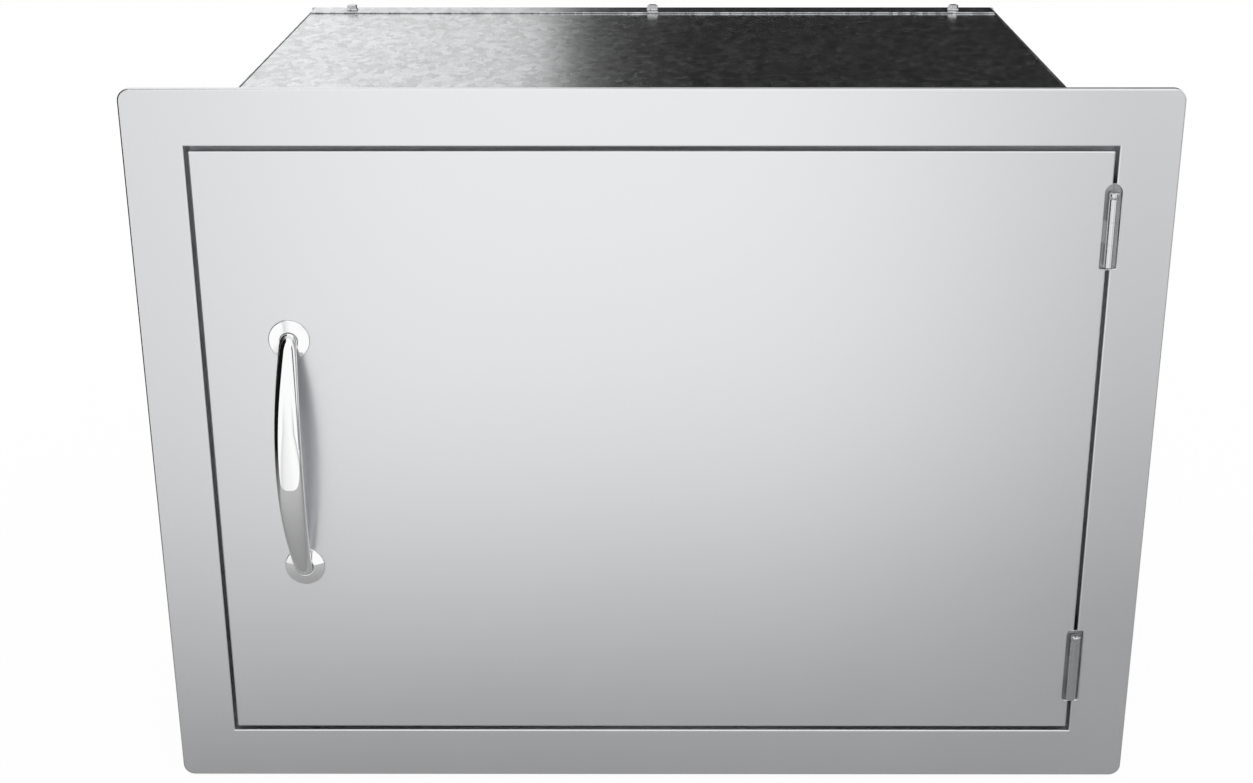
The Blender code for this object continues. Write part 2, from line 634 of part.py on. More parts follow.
def add_box(assembly, zinc, screw_holes, fixing_holes, catch_holes):
    """The galvanised box: top, bottom and sides, closed by the folded back panel."""
    half = BODY_SHEET / 2
    bend = BODY_BEND_RADIUS + half
    fold_x = WALL_IN_X - SEAT_GAP - half
    roof_z = ROOF_OUT_Z - half
    fold_z = ROOF_OUT_Z - PANEL_FOLD
    corners = [(-fold_x, fold_z), (-fold_x, roof_z), (fold_x, roof_z), (fold_x, fold_z)]
    path = bent_path(corners, bend)
    depth = PANEL_BACK_Y - BODY_FRONT_Y
    at = (0, PANEL_BACK_Y, CENTRE_Z)
    for name, up in (("top_panel", 1), ("bottom_panel", -1)):
        outline = [(point.x, up * point.y) for point in sheet_outline(path, BODY_SHEET)]
        panel = assembly.add(name, prism(outline, 0, depth), zinc, at, FACING_FRONT)
        cut(panel, screw_holes)

    flange_x = WALL_OUT_X - SIDE_FLANGE
    reliefs = []
    for side in (-1, 1):
        for up in (-1, 1):
            near_x, far_x = sorted((side * (flange_x - CUT_OVERRUN), side * WALL_IN_X))
            near_z, far_z = sorted((up * (fold_z - SEAT_GAP), up * FLANGE_HEIGHT / 2))
            low = (near_x, BODY_FRONT_Y - CUT_OVERRUN, CENTRE_Z + near_z)
            high = (far_x, BODY_FRONT_Y + BODY_SHEET + BODY_BEND_RADIUS, CENTRE_Z + far_z)
            reliefs.append(block(low, high))
    flange_relief = assembly.cutter("side_flange_relief", merged(reliefs))
    front_y = BODY_FRONT_Y + half
    web_x = WALL_OUT_X - half
    path = bent_path([(web_x, PANEL_BACK_Y), (web_x, front_y), (flange_x, front_y)], bend)
    for name, side in (("left_side_panel", -1), ("right_side_panel", 1)):
        outline = [(side * point.x, point.y) for point in sheet_outline(path, BODY_SHEET)]
        shell = prism(outline, -ROOF_OUT_Z, ROOF_OUT_Z)
        web = assembly.add(name, shell, zinc, (0, 0, CENTRE_Z))
        cut(web, flange_relief, screw_holes, fixing_holes)
        if side < 0:
            cut(web, catch_holes)

    inset = BODY_SHEET + BODY_BEND_RADIUS + BACK_CORNER_RELIEF
    corners = [
        (inset, BODY_BACK_Y - half),
        (half, BODY_BACK_Y - half),
        (half, BODY_BACK_Y - BACK_FOLD),
    ]
    outline = sheet_outline(bent_path(corners, bend), BODY_SHEET)
    loops = framed_loops(outline, BACK_OUT_X, BACK_OUT_Z, BACK_CORNER_RADIUS)
    shell = skin(loops, closed=False)
    back = assembly.add("back_panel", shell, zinc, (0, 0, CENTRE_Z), FACING_FRONT)
    corner_x = BACK_OUT_X - BACK_CORNER_RELIEF
    corner_z = BACK_OUT_Z - BACK_CORNER_RELIEF
    reliefs = []
    for side in (-1, 1):
        for up in (-1, 1):
            near_x, far_x = sorted((side * corner_x, side * FLANGE_WIDTH / 2))
            near_z, far_z = sorted((up * corner_z, up * FLANGE_HEIGHT / 2))
            low = (near_x, BODY_BACK_Y - BACK_FOLD - CUT_OVERRUN, CENTRE_Z + near_z)
            high = (far_x, BODY_BACK_Y - BODY_SHEET - BODY_BEND_RADIUS, CENTRE_Z + far_z)
            reliefs.append(block(low, high))
    cut(back, assembly.cutter("corner_relief", merged(reliefs)), screw_holes)


def add_shelf(assembly, zinc):
    """The shelf, folded down round its edges, on an angle rail at each side."""
    half = BODY_SHEET / 2
    bend = BODY_BEND_RADIUS + half
    front_y = STOP_BACK_Y + SHELF_SETBACK
    back_y = PANEL_BACK_Y - SHELF_BACK_GAP
    rail_x = WALL_IN_X - SEAT_GAP - half
    half_width = rail_x - half - SHELF_SIDE_GAP
    top_z = CENTRE_Z - ROOF_IN_Z + 2 * SHELF_HEIGHT_SHARE * ROOF_IN_Z + SHELF_FOLD / 2
    inset = BODY_SHEET + BODY_BEND_RADIUS + SHELF_CORNER_RADIUS
    corners = [(inset, half), (half, half), (half, SHELF_FOLD)]
    outline = sheet_outline(bent_path(corners, bend), BODY_SHEET)
    loops = framed_loops(outline, half_width, (back_y - front_y) / 2, SHELF_CORNER_RADIUS)
    shell = skin(loops, closed=False)
    assembly.add("shelf", shell, zinc, (0, (front_y + back_y) / 2, top_z))

    heel_z = top_z - SHELF_FOLD - SEAT_GAP - half
    for name, side in (("shelf_rail_left", -1), ("shelf_rail_right", 1)):
        corners = [(rail_x, RAIL_HEIGHT), (rail_x, 0), (rail_x - RAIL_WIDTH, 0)]
        outline = sheet_outline(bent_path(corners, bend), BODY_SHEET)
        outline = [(side * point.x, point.y) for point in outline]
        shell = prism(outline, 0, back_y - front_y)
        assembly.add(name, shell, zinc, (0, back_y, heel_z), FACING_FRONT)


def add_hinges(assembly, steel):
    """Two hinges, each of two curled leaves on a pin."""
    frame_knuckles = range(0, KNUCKLE_COUNT, 2)
    door_knuckles = range(1, KNUCKLE_COUNT, 2)
    for word, base in HINGE_BASES.items():
        at = (HINGE_X, HINGE_Y, base + PIN_FOOT_HEIGHT + SEAT_GAP)
        shell = hinge_leaf(1, FRAME_TAIL_Y)
        frame_leaf = assembly.add(f"hinge_frame_leaf_{word}", shell, steel, at)
        notches = knuckle_notches(base, door_knuckles)
        cut(frame_leaf, assembly.cutter(f"frame_leaf_notches_{word}", notches))
        shell = hinge_leaf(-1, DOOR_TAIL_Y)
        door_leaf = assembly.add(f"hinge_door_leaf_{word}", shell, steel, at, on_door=True)
        notches = knuckle_notches(base, frame_knuckles)
        cut(door_leaf, assembly.cutter(f"door_leaf_notches_{word}", notches))
        assembly.add(f"hinge_pin_{word}", hinge_pin(), steel, (HINGE_X, HINGE_Y, base))


def add_handle(assembly, chrome, zinc):
    """The bow on its two rosettes, held by a screw from inside the door at each foot."""
    at = (HANDLE_X, FACE_Y, CENTRE_Z)
    shell = skin(handle_loops(), closed=False)
    bar = assembly.add("handle_bar", shell, chrome, at, FACING_FRONT, on_door=True)
    bores = []
    seat_y = DOOR_BACK_Y + SEAT_GAP
    bite_y = FACE_Y - HANDLE_SCREW_BITE
    for word, foot_z in HANDLE_FEET.items():
        bore = cylinder(HANDLE_BORE, -FACE_Y - CUT_OVERRUN, SEAT_GAP - bite_y, SCREW_SIDES)
        bores.append(moved(bore, (HANDLE_X, 0, foot_z), FACING_FRONT))
        at = (HANDLE_X, FACE_Y - SEAT_GAP, foot_z)
        name = f"handle_rosette_{word}"
        assembly.add(name, rosette(), chrome, at, FACING_FRONT, on_door=True)
        length = seat_y - bite_y
        head = (HANDLE_SCREW_HEAD_RADIUS, HANDLE_SCREW_HEAD_HEIGHT)
        shell = pan_screw(HANDLE_SCREW_RADIUS, length, *head)
        at = (HANDLE_X, seat_y, foot_z)
        assembly.add(f"handle_screw_{word}", shell, zinc, at, FACING_BACK, on_door=True)
    cut(bar, assembly.cutter("handle_bores", merged(bores)))


def catch_screw_places():
    """Name and height of each screw that holds a catch."""
    places = []
    for word, share in CATCH_HEIGHT_SHARES.items():
        for end, end_share in CATCH_SCREW_SHARES.items():
            z = CENTRE_Z + share * DOOR_HALF_Z + end_share * CATCH_LENGTH / 2
            places.append((f"catch_screw_{word}_{end}", z))
    return places


def strike_screw_places():
    """Name and height of each screw that holds a strike."""
    places = []
    for word, share in CATCH_HEIGHT_SHARES.items():
        for end, end_share in STRIKE_SCREW_SHARES.items():
            z = CENTRE_Z + share * DOOR_HALF_Z + end_share * STRIKE_LENGTH / 2
            places.append((f"strike_screw_{word}_{end}", z))
    return places


def countersunk(clearance):
    """Profile of a flat-headed screw, or of the hole for one, with its face at height zero."""
    shank = STRIKE_SCREW_RADIUS + clearance
    head = STRIKE_SCREW_HEAD_RADIUS + clearance
    reach = STRIKE_SHEET + clearance
    return [(shank, -STRIKE_SCREW_LENGTH - clearance), (shank, -reach), (head, clearance)]


def add_catches(assembly, plastic, plated, catch_holes):
    """Two catch housings, each screwed through its ear to the stop from behind."""
    inner_x = CATCH_OUTER_X + CATCH_WIDTH
    ear_x = -STOP_EDGE_X - CATCH_EAR_REACH
    outline = [
        (ear_x, CATCH_EAR_FRONT_Y),
        (CATCH_OUTER_X, CATCH_EAR_FRONT_Y),
        (CATCH_OUTER_X, CATCH_FRONT_Y),
        (inner_x, CATCH_FRONT_Y),
        (inner_x, CATCH_BACK_Y),
        (CATCH_OUTER_X, CATCH_BACK_Y),
        (CATCH_OUTER_X, CATCH_EAR_BACK_Y),
        (ear_x, CATCH_EAR_BACK_Y),
    ]
    pocket_half_x = MAGNET_WIDTH / 2 + SEAT_GAP
    pocket_half_z = MAGNET_LENGTH / 2 + SEAT_GAP
    pocket_floor = MAGNET_FRONT_Y + MAGNET_DEPTH + SEAT_GAP
    for word, share in CATCH_HEIGHT_SHARES.items():
        z = CENTRE_Z + share * DOOR_HALF_Z
        shell = prism(outline, -CATCH_LENGTH / 2, CATCH_LENGTH / 2)
        housing = assembly.add(f"catch_housing_{word}", shell, plastic, (0, 0, z))
        bevel = housing.modifiers.new("edges", "BEVEL")
        bevel.width = CATCH_EDGE_BEVEL
        bevel.segments = 1
        low = (CATCH_MIDDLE_X - pocket_half_x, CATCH_FRONT_Y - CUT_OVERRUN, z - pocket_half_z)
        high = (CATCH_MIDDLE_X + pocket_half_x, pocket_floor, z + pocket_half_z)
        pocket = assembly.cutter(f"magnet_pocket_{word}", block(low, high))
        cut(housing, pocket, catch_holes)
    head = (CATCH_SCREW_HEAD_RADIUS, CATCH_SCREW_HEAD_HEIGHT)
    seat_y = CATCH_EAR_BACK_Y + SEAT_GAP
    for name, z in catch_screw_places():
        shell = pan_screw(CATCH_SCREW_RADIUS, seat_y - STOP_FRONT_Y - SEAT_GAP, *head)
        assembly.add(name, shell, plated, (CATCH_SCREW_X, seat_y, z), FACING_BACK)


def add_strikes(assembly, magnet, plated, strike_holes):
    """A magnet in each housing, and the steel strike on the door that it holds."""
    half_x = MAGNET_WIDTH / 2
    half_z = MAGNET_LENGTH / 2
    plate = rounded_rectangle(STRIKE_WIDTH / 2, STRIKE_LENGTH / 2, STRIKE_CORNER_RADIUS)
    for word, share in CATCH_HEIGHT_SHARES.items():
        z = CENTRE_Z + share * DOOR_HALF_Z
        shell = block((-half_x, 0, -half_z), (half_x, MAGNET_DEPTH, half_z))
        assembly.add(f"catch_magnet_{word}", shell, magnet, (CATCH_MIDDLE_X, MAGNET_FRONT_Y, z))
        shell = prism(plate, 0, STRIKE_SHEET)
        at = (CATCH_MIDDLE_X, STRIKE_BACK_Y, z)
        name = f"strike_plate_{word}"
        strike = assembly.add(name, shell, plated, at, FACING_FRONT, on_door=True)
        cut(strike, strike_holes)
    for name, z in strike_screw_places():
        shell = turned(countersunk(0), SCREW_SIDES)
        at = (CATCH_MIDDLE_X, STRIKE_BACK_Y, z)
        assembly.add(name, shell, plated, at, FACING_BACK, on_door=True)


def build():
    """Make every piece of the cabinet."""
    clear_scene()
    satin = ((0.72, 0.73, 0.75), 0.28, 1)
    zinc = ((0.58, 0.6, 0.62), 0.42, 1)
    chrome = ((0.86, 0.87, 0.89), 0.06, 1)
    plated = ((0.66, 0.67, 0.68), 0.32, 1)
    rubber = ((0.06, 0.06, 0.065), 0.7, 0)
    plastic = ((0.82, 0.82, 0.8), 0.5, 0)
    magnet = ((0.32, 0.32, 0.34), 0.4, 1)
    assembly = Assembly()

    pockets, notches = [], []
    for word, base in HINGE_BASES.items():
        pockets.append(assembly.cutter(f"hinge_pocket_{word}", hinge_pocket(base)))
        low_z = base + PIN_FOOT_HEIGHT + SEAT_GAP - LEAF_NOTCH_CLEARANCE
        high_z = low_z + LEAF_HEIGHT + 2 * LEAF_NOTCH_CLEARANCE
        near = TAIL_OFFSET - HINGE_SHEET / 2 - SEAT_GAP
        far = TAIL_OFFSET + HINGE_SHEET / 2 + SEAT_GAP
        low = (HINGE_X - far, FACE_Y + FACE_SHEET + SEAT_GAP, low_z)
        high = (HINGE_X - near, DOOR_TAIL_Y + SEAT_GAP, high_z)
        notches.append(block(low, high))
    liner_notches = assembly.cutter("liner_leaf_notches", merged(notches))

    holes = []
    for name, place, turn in back_screw_places():
        hole = cylinder(BACK_SCREW_RADIUS + SEAT_GAP, -CUT_OVERRUN, SEAT_GAP, SCREW_SIDES)
        holes.append(moved(hole, place, turn))
        assembly.add(name, hex_screw(), plated, place, turn)
    screw_holes = assembly.cutter("back_screw_holes", merged(holes))

    holes = []
    for share in FIXING_HOLE_SHARES:
        hole = cylinder(FIXING_HOLE_RADIUS, -FLANGE_WIDTH / 2, FLANGE_WIDTH / 2, SCREW_SIDES)
        place = (0, FIXING_HOLE_BACKSET, CENTRE_Z + share * ROOF_OUT_Z)
        holes.append(moved(hole, place, FACING_RIGHT))
    fixing_holes = assembly.cutter("fixing_holes", merged(holes))

    holes = []
    for foot_z in HANDLE_FEET.values():
        hole = cylinder(HANDLE_BORE, -DOOR_BACK_Y - CUT_OVERRUN, CUT_OVERRUN - FACE_Y, SCREW_SIDES)
        holes.append(moved(hole, (HANDLE_X, 0, foot_z), FACING_FRONT))
    handle_holes = assembly.cutter("handle_holes", merged(holes))

    holes = []
    for name, z in strike_screw_places():
        hole = turned(countersunk(SEAT_GAP), SCREW_SIDES)
        holes.append(moved(hole, (CATCH_MIDDLE_X, STRIKE_BACK_Y, z), FACING_BACK))
    strike_holes = assembly.cutter("strike_holes", merged(holes))

    holes = []
    for name, z in catch_screw_places():
        hole = cylinder(CATCH_SCREW_RADIUS + SEAT_GAP, -CATCH_BACK_Y, -GASKET_FRONT_Y, SCREW_SIDES)
        holes.append(moved(hole, (CATCH_SCREW_X, 0, z), FACING_FRONT))
    catch_holes = assembly.cutter("catch_holes", merged(holes))

    add_face_frame(assembly, satin, pockets, catch_holes)
    add_door_panels(assembly, satin, pockets, liner_notches, handle_holes, strike_holes)
    add_gasket(assembly, rubber)
    add_box(assembly, zinc, screw_holes, fixing_holes, catch_holes)
    add_shelf(assembly, zinc)
    add_hinges(assembly, satin)
    add_handle(assembly, chrome, plated)
    add_catches(assembly, plastic, plated, catch_holes)
    add_strikes(assembly, magnet, plated, strike_holes)


build()
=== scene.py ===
"""Studio scene of a built-in dry storage pantry cabinet.

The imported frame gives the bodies, joints and places; every visible sheet, screw and casting is
built here in finer detail, in metres, with X to the right, Y into the wall and Z up.
"""

import logging
from dataclasses import dataclass
from enum import Enum
from math import atan2, copysign, cos, pi, radians, sin, tan
from typing import Iterable, Sequence

import bmesh
import bpy
from mathutils import Matrix, Vector

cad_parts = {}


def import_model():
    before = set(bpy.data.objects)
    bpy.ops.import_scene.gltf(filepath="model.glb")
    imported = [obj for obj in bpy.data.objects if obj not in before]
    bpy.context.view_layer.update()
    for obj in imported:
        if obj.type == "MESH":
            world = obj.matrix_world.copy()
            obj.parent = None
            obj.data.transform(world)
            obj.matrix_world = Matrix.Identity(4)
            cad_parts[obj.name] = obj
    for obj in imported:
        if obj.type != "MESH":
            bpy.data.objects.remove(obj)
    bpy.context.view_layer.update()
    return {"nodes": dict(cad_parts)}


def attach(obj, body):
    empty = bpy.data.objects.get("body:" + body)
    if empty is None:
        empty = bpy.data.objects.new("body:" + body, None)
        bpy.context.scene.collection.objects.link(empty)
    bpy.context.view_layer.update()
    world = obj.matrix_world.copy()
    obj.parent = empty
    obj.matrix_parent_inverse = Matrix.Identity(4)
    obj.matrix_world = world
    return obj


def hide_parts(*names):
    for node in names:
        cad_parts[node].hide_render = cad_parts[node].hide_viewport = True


LOG = logging.getLogger("pantry")

Shell = bmesh.types.BMesh
Socket = bpy.types.NodeSocket
Point = tuple[float, float, float]
Colour = tuple[float, float, float]
Flat = Sequence[Sequence[float]]
Outline = list[Vector]

CUT_OVERRUN = 0.004
BORE_SIDES = 32
LARGE_FACE_WEIGHT = 80
NOISE_MIDDLE = 0.5
# Name of the handle's mesh layer that sets the painted shade of the bar's back.
BACK_SHADE_LAYER = "back"
FACING_LAYER = "facing"
MIX_FACTOR, MIX_FIRST, MIX_SECOND, MIX_RESULT = 0, 6, 7, 2
WHITE = (1.0, 1.0, 1.0, 1.0)


class Body(Enum):
    """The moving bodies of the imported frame."""

    CABINET = "cabinet"
    DOOR = "door"


class Slot(Enum):
    """The record's material slots."""

    STEEL = "satin_stainless"
    CHROME = "polished_chrome"
    GALVANISED = "galvanised_sheet"
    PLATED = "zinc_plated_steel"
    RUBBER = "gasket_rubber"
    PLASTIC = "catch_plastic"
    MAGNET = "magnet_steel"


class Side(Enum):
    """The two sides of the cabinet, as signs along X."""

    LEFT = -1
    RIGHT = 1


# Sizes that several sub-assemblies share


@dataclass(frozen=True)
class Envelope:
    """Sizes of the cabinet that its sub-assemblies share, in metres."""

    seat_gap: float = 0.0003
    side_gap: float = 0.0022
    end_gap: float = 0.0029
    flange_width: float = 0.6858
    flange_height: float = 0.508
    side_border: float = 0.0402
    end_border: float = 0.0377
    lip_depth: float = 0.005
    face_sheet: float = 0.001
    face_bend: float = 0.0002
    stop_width: float = 0.014
    door_depth: float = 0.017
    liner_sheet: float = 0.0009
    gasket_thickness: float = 0.0036
    body_depth: float = 0.514
    body_sheet: float = 0.0009
    body_bend: float = 0.0004
    hinge_proud: float = 0.00125

    @property
    def centre_z(self) -> float:
        """Height of the flange's middle."""
        return (self.flange_height - self.face_sheet) / 2

    @property
    def opening_x(self) -> float:
        """Half width of the opening."""
        return self.flange_width / 2 - self.side_border

    @property
    def opening_z(self) -> float:
        """Half height of the opening."""
        return self.flange_height / 2 - self.end_border

    @property
    def door_x(self) -> float:
        """Half width of the door."""
        return self.opening_x - self.side_gap

    @property
    def door_z(self) -> float:
        """Half height of the door."""
        return self.opening_z - self.end_gap

    @property
    def wall_x(self) -> float:
        """Half width over the box's side sheets."""
        return self.opening_x + self.face_sheet

    @property
    def roof_z(self) -> float:
        """Half height over the box's top and bottom sheets."""
        return self.opening_z + self.face_sheet

    @property
    def back_x(self) -> float:
        """Half width over the back panel's folded edge."""
        return self.wall_x + self.seat_gap + self.body_sheet

    @property
    def back_z(self) -> float:
        """Half height over the back panel's folded edge."""
        return self.roof_z + self.seat_gap + self.body_sheet

    @property
    def face_y(self) -> float:
        """Depth of the flange's and the door's front face."""
        return -self.lip_depth

    @property
    def door_back_y(self) -> float:
        """Depth of the door's back face."""
        return self.face_y + self.door_depth

    @property
    def stop_front_y(self) -> float:
        """Depth of the stop's front face."""
        return self.door_back_y + self.gasket_thickness + 2 * self.seat_gap

    @property
    def stop_back_y(self) -> float:
        """Depth of the stop's back face."""
        return self.stop_front_y + self.face_sheet

    @property
    def box_front_y(self) -> float:
        """Depth at which the box's sheets start."""
        return self.stop_back_y + self.seat_gap

    @property
    def box_back_y(self) -> float:
        """Depth of the back panel's outer face."""
        return self.face_y + self.body_depth

    @property
    def panel_back_y(self) -> float:
        """Depth at which the box's top, bottom and sides end."""
        return self.box_back_y - self.body_sheet - self.seat_gap

    @property
    def hinge_x(self) -> float:
        """Place of the hinge's axis across the cabinet."""
        return self.opening_x - self.side_gap / 2

    @property
    def hinge_y(self) -> float:
        """Depth of the hinge's axis."""
        return self.face_y - self.hinge_proud


# Outlines and lofted shapes


def left_of(direction: Vector) -> Vector:
    """The direction a quarter turn to the left, in the plane."""
    return Vector((-direction.y, direction.x))


def arc(centre: Sequence[float], radius: float, start: float, sweep: float, steps: int) -> Outline:
    """Points along an arc, both ends included, from its start angle by its sweep, in radians."""
    angles = [start + sweep * step / steps for step in range(steps + 1)]
    return [Vector((centre[0] + radius * cos(a), centre[1] + radius * sin(a))) for a in angles]


def bent_path(corners: Flat, radius: float, steps: int = 8) -> Outline:
    """The middle line of a bent sheet.

    Args:
        corners: points of the line before it is bent round.
        radius: radius of each bend at the middle line.
        steps: number of steps along each bend.

    Returns:
        The points along the bent line.
    """
    points = [Vector(corner) for corner in corners]
    path = [points[0]]
    for before, corner, after in zip(points, points[1:], points[2:]):
        came = (corner - before).normalized()
        goes = (after - corner).normalized()
        turn = atan2(came.cross(goes), came.dot(goes))
        inward = left_of(came) * copysign(radius, turn)
        centre = corner - came * radius * tan(abs(turn) / 2) + inward
        for step in range(steps + 1):
            path.append(centre - Matrix.Rotation(turn * step / steps, 2) @ inward)
    path.append(points[-1])
    return path


def sheet_outline(path: Outline, sheet: float) -> Outline:
    """The outline of a sheet along its middle line: the left side out, the right side back.

    Args:
        path: middle line of the sheet.
        sheet: thickness of the sheet.

    Returns:
        The points round the sheet's edge.
    """
    left_side, right_side = [], []
    for before, point, after in zip([None] + path[:-1], path, path[1:] + [None]):
        came = (point - before).normalized() if before else (after - point).normalized()
        goes = (after - point).normalized() if after else came
        across = left_of(came + goes).normalized()
        reach = sheet / 2 / across.dot(left_of(goes))
        left_side.append(point + across * reach)
        right_side.append(point - across * reach)
    return left_side + right_side[::-1]


def folded(corners: Flat, bend: float, sheet: float, steps: int = 8) -> Outline:
    """The outline of a sheet whose middle line is bent at each corner, by the radius inside the bend."""
    return sheet_outline(bent_path(corners, bend + sheet / 2, steps), sheet)


def rounded_rectangle(half_width: float, half_height: float, radius: float, steps: int) -> Outline:
    """A loop of points round a rectangle with rounded corners.

    Args:
        half_width: half of the rectangle's width.
        half_height: half of the rectangle's height.
        radius: radius of the corners.
        steps: number of steps round each corner.

    Returns:
        The points, from the upper right corner to the left and round.
    """
    loop: Outline = []
    for quarter, (across, up) in enumerate(((1, 1), (-1, 1), (-1, -1), (1, -1))):
        centre = (across * (half_width - radius), up * (half_height - radius))
        loop += arc(centre, radius, quarter * pi / 2, pi / 2, steps)
    return loop


def loft(loops: Sequence[Flat], closed: bool) -> Shell:
    """A mesh over a row of loops.

    Args:
        loops: loops of points, all of the same length.
        closed: True if the last loop joins the first, False if both ends are capped.

    Returns:
        The closed mesh, its faces outwards.
    """
    shell = bmesh.new()
    rings = [[shell.verts.new(point) for point in loop] for loop in loops]
    pairs = list(zip(rings, rings[1:]))
    if closed:
        pairs.append((rings[-1], rings[0]))
    else:
        shell.faces.new(rings[0])
        shell.faces.new(rings[-1])
    for near, far in pairs:
        for i in range(len(near)):
            j = (i + 1) % len(near)
            shell.faces.new((near[i], near[j], far[j], far[i]))
    bmesh.ops.recalc_face_normals(shell, faces=shell.faces)
    return shell


@dataclass(frozen=True)
class Tray:
    """A sheet profile carried round a rectangle, as for a folded tray or a frame."""

    half_width: float
    half_height: float
    corner: float
    mitre: float = 0.0003
    side_extra: float = 0.0
    steps: int = 8

    def carried(self, outline: Outline, lay: "Lay", closed: bool = False) -> Shell:
        """A mesh of a profile that is carried round the rectangle.

        Args:
            outline: the profile, as (inset from the edge, depth) points.
            lay: puts a point (across, up, depth) in its place.
            closed: True for a ring, False for a tray with a floor.

        Returns:
            The closed mesh.
        """
        middle = max(point[0] for point in outline) / 2
        loops = []
        for inset, depth in outline:
            extra = self.side_extra if inset > middle else 0.0
            corner = max(self.corner - inset, self.mitre)
            size = (self.half_width - inset - extra, self.half_height - inset, corner)
            flat = rounded_rectangle(*size, self.steps)
            loops.append([lay(point.x, point.y, depth) for point in flat])
        return loft(loops, closed)


@dataclass(frozen=True)
class Lay:
    """Puts a flat outline in its place: where it starts, and where its axes and its level point."""

    origin: Point
    first: Point
    second: Point
    level: Point

    def __call__(self, first: float, second: float, level: float) -> Vector:
        """The point in the cabinet's frame."""
        point = Vector(self.origin) + Vector(self.first) * first
        return point + Vector(self.second) * second + Vector(self.level) * level


def upright(z: float, side: int = 1, up: int = 1, x: float = 0.0) -> Lay:
    """A lay for outlines that stand upright, with their level into the wall."""
    return Lay((x, 0.0, z), (side, 0.0, 0.0), (0.0, 0.0, up), (0.0, 1.0, 0.0))


def level(origin: Point, side: int = 1) -> Lay:
    """A lay for outlines seen from above, with their level upwards."""
    return Lay(origin, (side, 0.0, 0.0), (0.0, 1.0, 0.0), (0.0, 0.0, 1.0))


def rectangle(low: Sequence[float], high: Sequence[float]) -> Outline:
    """The four corners of a rectangle."""
    return [Vector(low), Vector((high[0], low[1])), Vector(high), Vector((low[0], high[1]))]


def extruded(outline: Outline, lay: Lay, low: float, high: float) -> Shell:
    """A closed mesh of an outline, put in its place and extruded between two levels."""
    loops = [[lay(point.x, point.y, end) for point in outline] for end in (low, high)]
    return loft(loops, closed=False)


def turned(profile: Flat, sides: int, closed: bool = False) -> Shell:
    """A mesh turned about the Z axis.

    Args:
        profile: (radius, height) points.
        sides: number of sides round the axis.
        closed: True if the profile is a ring, such as that of a washer.

    Returns:
        The closed mesh.
    """
    loops = []
    for radius, height in profile:
        angles = [2 * pi * side / sides for side in range(sides)]
        loops.append([Vector((radius * cos(a), radius * sin(a), height)) for a in angles])
    return loft(loops, closed)


def placed(shell: Shell, matrix: Matrix) -> Shell:
    """The same mesh, with a matrix applied to it."""
    bmesh.ops.transform(shell, matrix=matrix, verts=shell.verts)
    return shell


def round_hole(radius: float, reach: float, at: Sequence[float], axis: str) -> Shell:
    """A rod that cuts a round hole, turned from upright about X or Y, reaching as far to either side."""
    rod = turned([(radius, -reach), (radius, reach)], BORE_SIDES)
    return placed(rod, Matrix.Translation(at) @ Matrix.Rotation(pi / 2, 4, axis))


def meshed(name: str, shell: Shell, *materials: bpy.types.Material) -> bpy.types.Mesh:
    """A mesh in the file, made from a mesh in the making, which is freed.

    Args:
        name: name of the mesh.
        shell: the mesh in the making.
        materials: its material, if it has one.

    Returns:
        The mesh.
    """
    mesh = bpy.data.meshes.new(name)
    shell.to_mesh(mesh)
    shell.free()
    for material in materials:
        mesh.materials.append(material)
    return mesh


def joined(shells: Iterable[Shell]) -> Shell:
    """One mesh that holds several separate ones.

    Args:
        shells: the separate meshes, which are freed.

    Returns:
        The mesh that holds them all.
    """
    whole = bmesh.new()
    for shell in shells:
        mesh = meshed("joined_part", shell)
        whole.from_mesh(mesh)
        bpy.data.meshes.remove(mesh)
    return whole


# Shader nodes


@dataclass(frozen=True)
class Value:
    """A shader's value socket, on which Python's operators add Math nodes."""

    sketch: "Sketch"
    socket: Socket

    def maths(self, operation: str, *others: "Plug", first: bool = True) -> "Value":
        """Add a Math node.

        Args:
            operation: the node's operation.
            others: the other operands.
            first: True if this value is the first operand.

        Returns:
            The node's result.
        """
        operands = [self, *others] if first else [*others, self]
        return self.sketch.value("ShaderNodeMath", dict(enumerate(operands)), operation=operation)

    def __add__(self, other: "Plug") -> "Value":
        """The sum of both."""
        return self.maths("ADD", other)

    __radd__ = __add__

    def __sub__(self, other: "Plug") -> "Value":
        """This less the other."""
        return self.maths("SUBTRACT", other)

    def __rsub__(self, other: "Plug") -> "Value":
        """The other less this."""
        return self.maths("SUBTRACT", other, first=False)

    def __mul__(self, other: "Plug") -> "Value":
        """The product of both."""
        return self.maths("MULTIPLY", other)

    __rmul__ = __mul__

    def __truediv__(self, other: "Plug") -> "Value":
        """This divided by the other."""
        return self.maths("DIVIDE", other)

    def swing(self, width: float) -> "Value":
        """This noise, made to swing about zero by a given width."""
        return (self - NOISE_MIDDLE) * width

    def clamped(self) -> "Value":
        """This, held between 0 and 1."""
        return self.maths("MAXIMUM", 0.0).maths("MINIMUM", 1.0)

    def ramp(self, low: float, high: float, at_low: float, at_high: float) -> "Value":
        """A smooth step from one value to another.

        Args:
            low: value at which the step starts.
            high: value at which it ends.
            at_low: result below low.
            at_high: result above high.

        Returns:
            The stepped value.
        """
        values = {"Value": self, "From Min": low, "From Max": high, "To Min": at_low, "To Max": at_high}
        return self.sketch.value("ShaderNodeMapRange", values, interpolation_type="SMOOTHSTEP")


Plug = Value | Socket | float | tuple


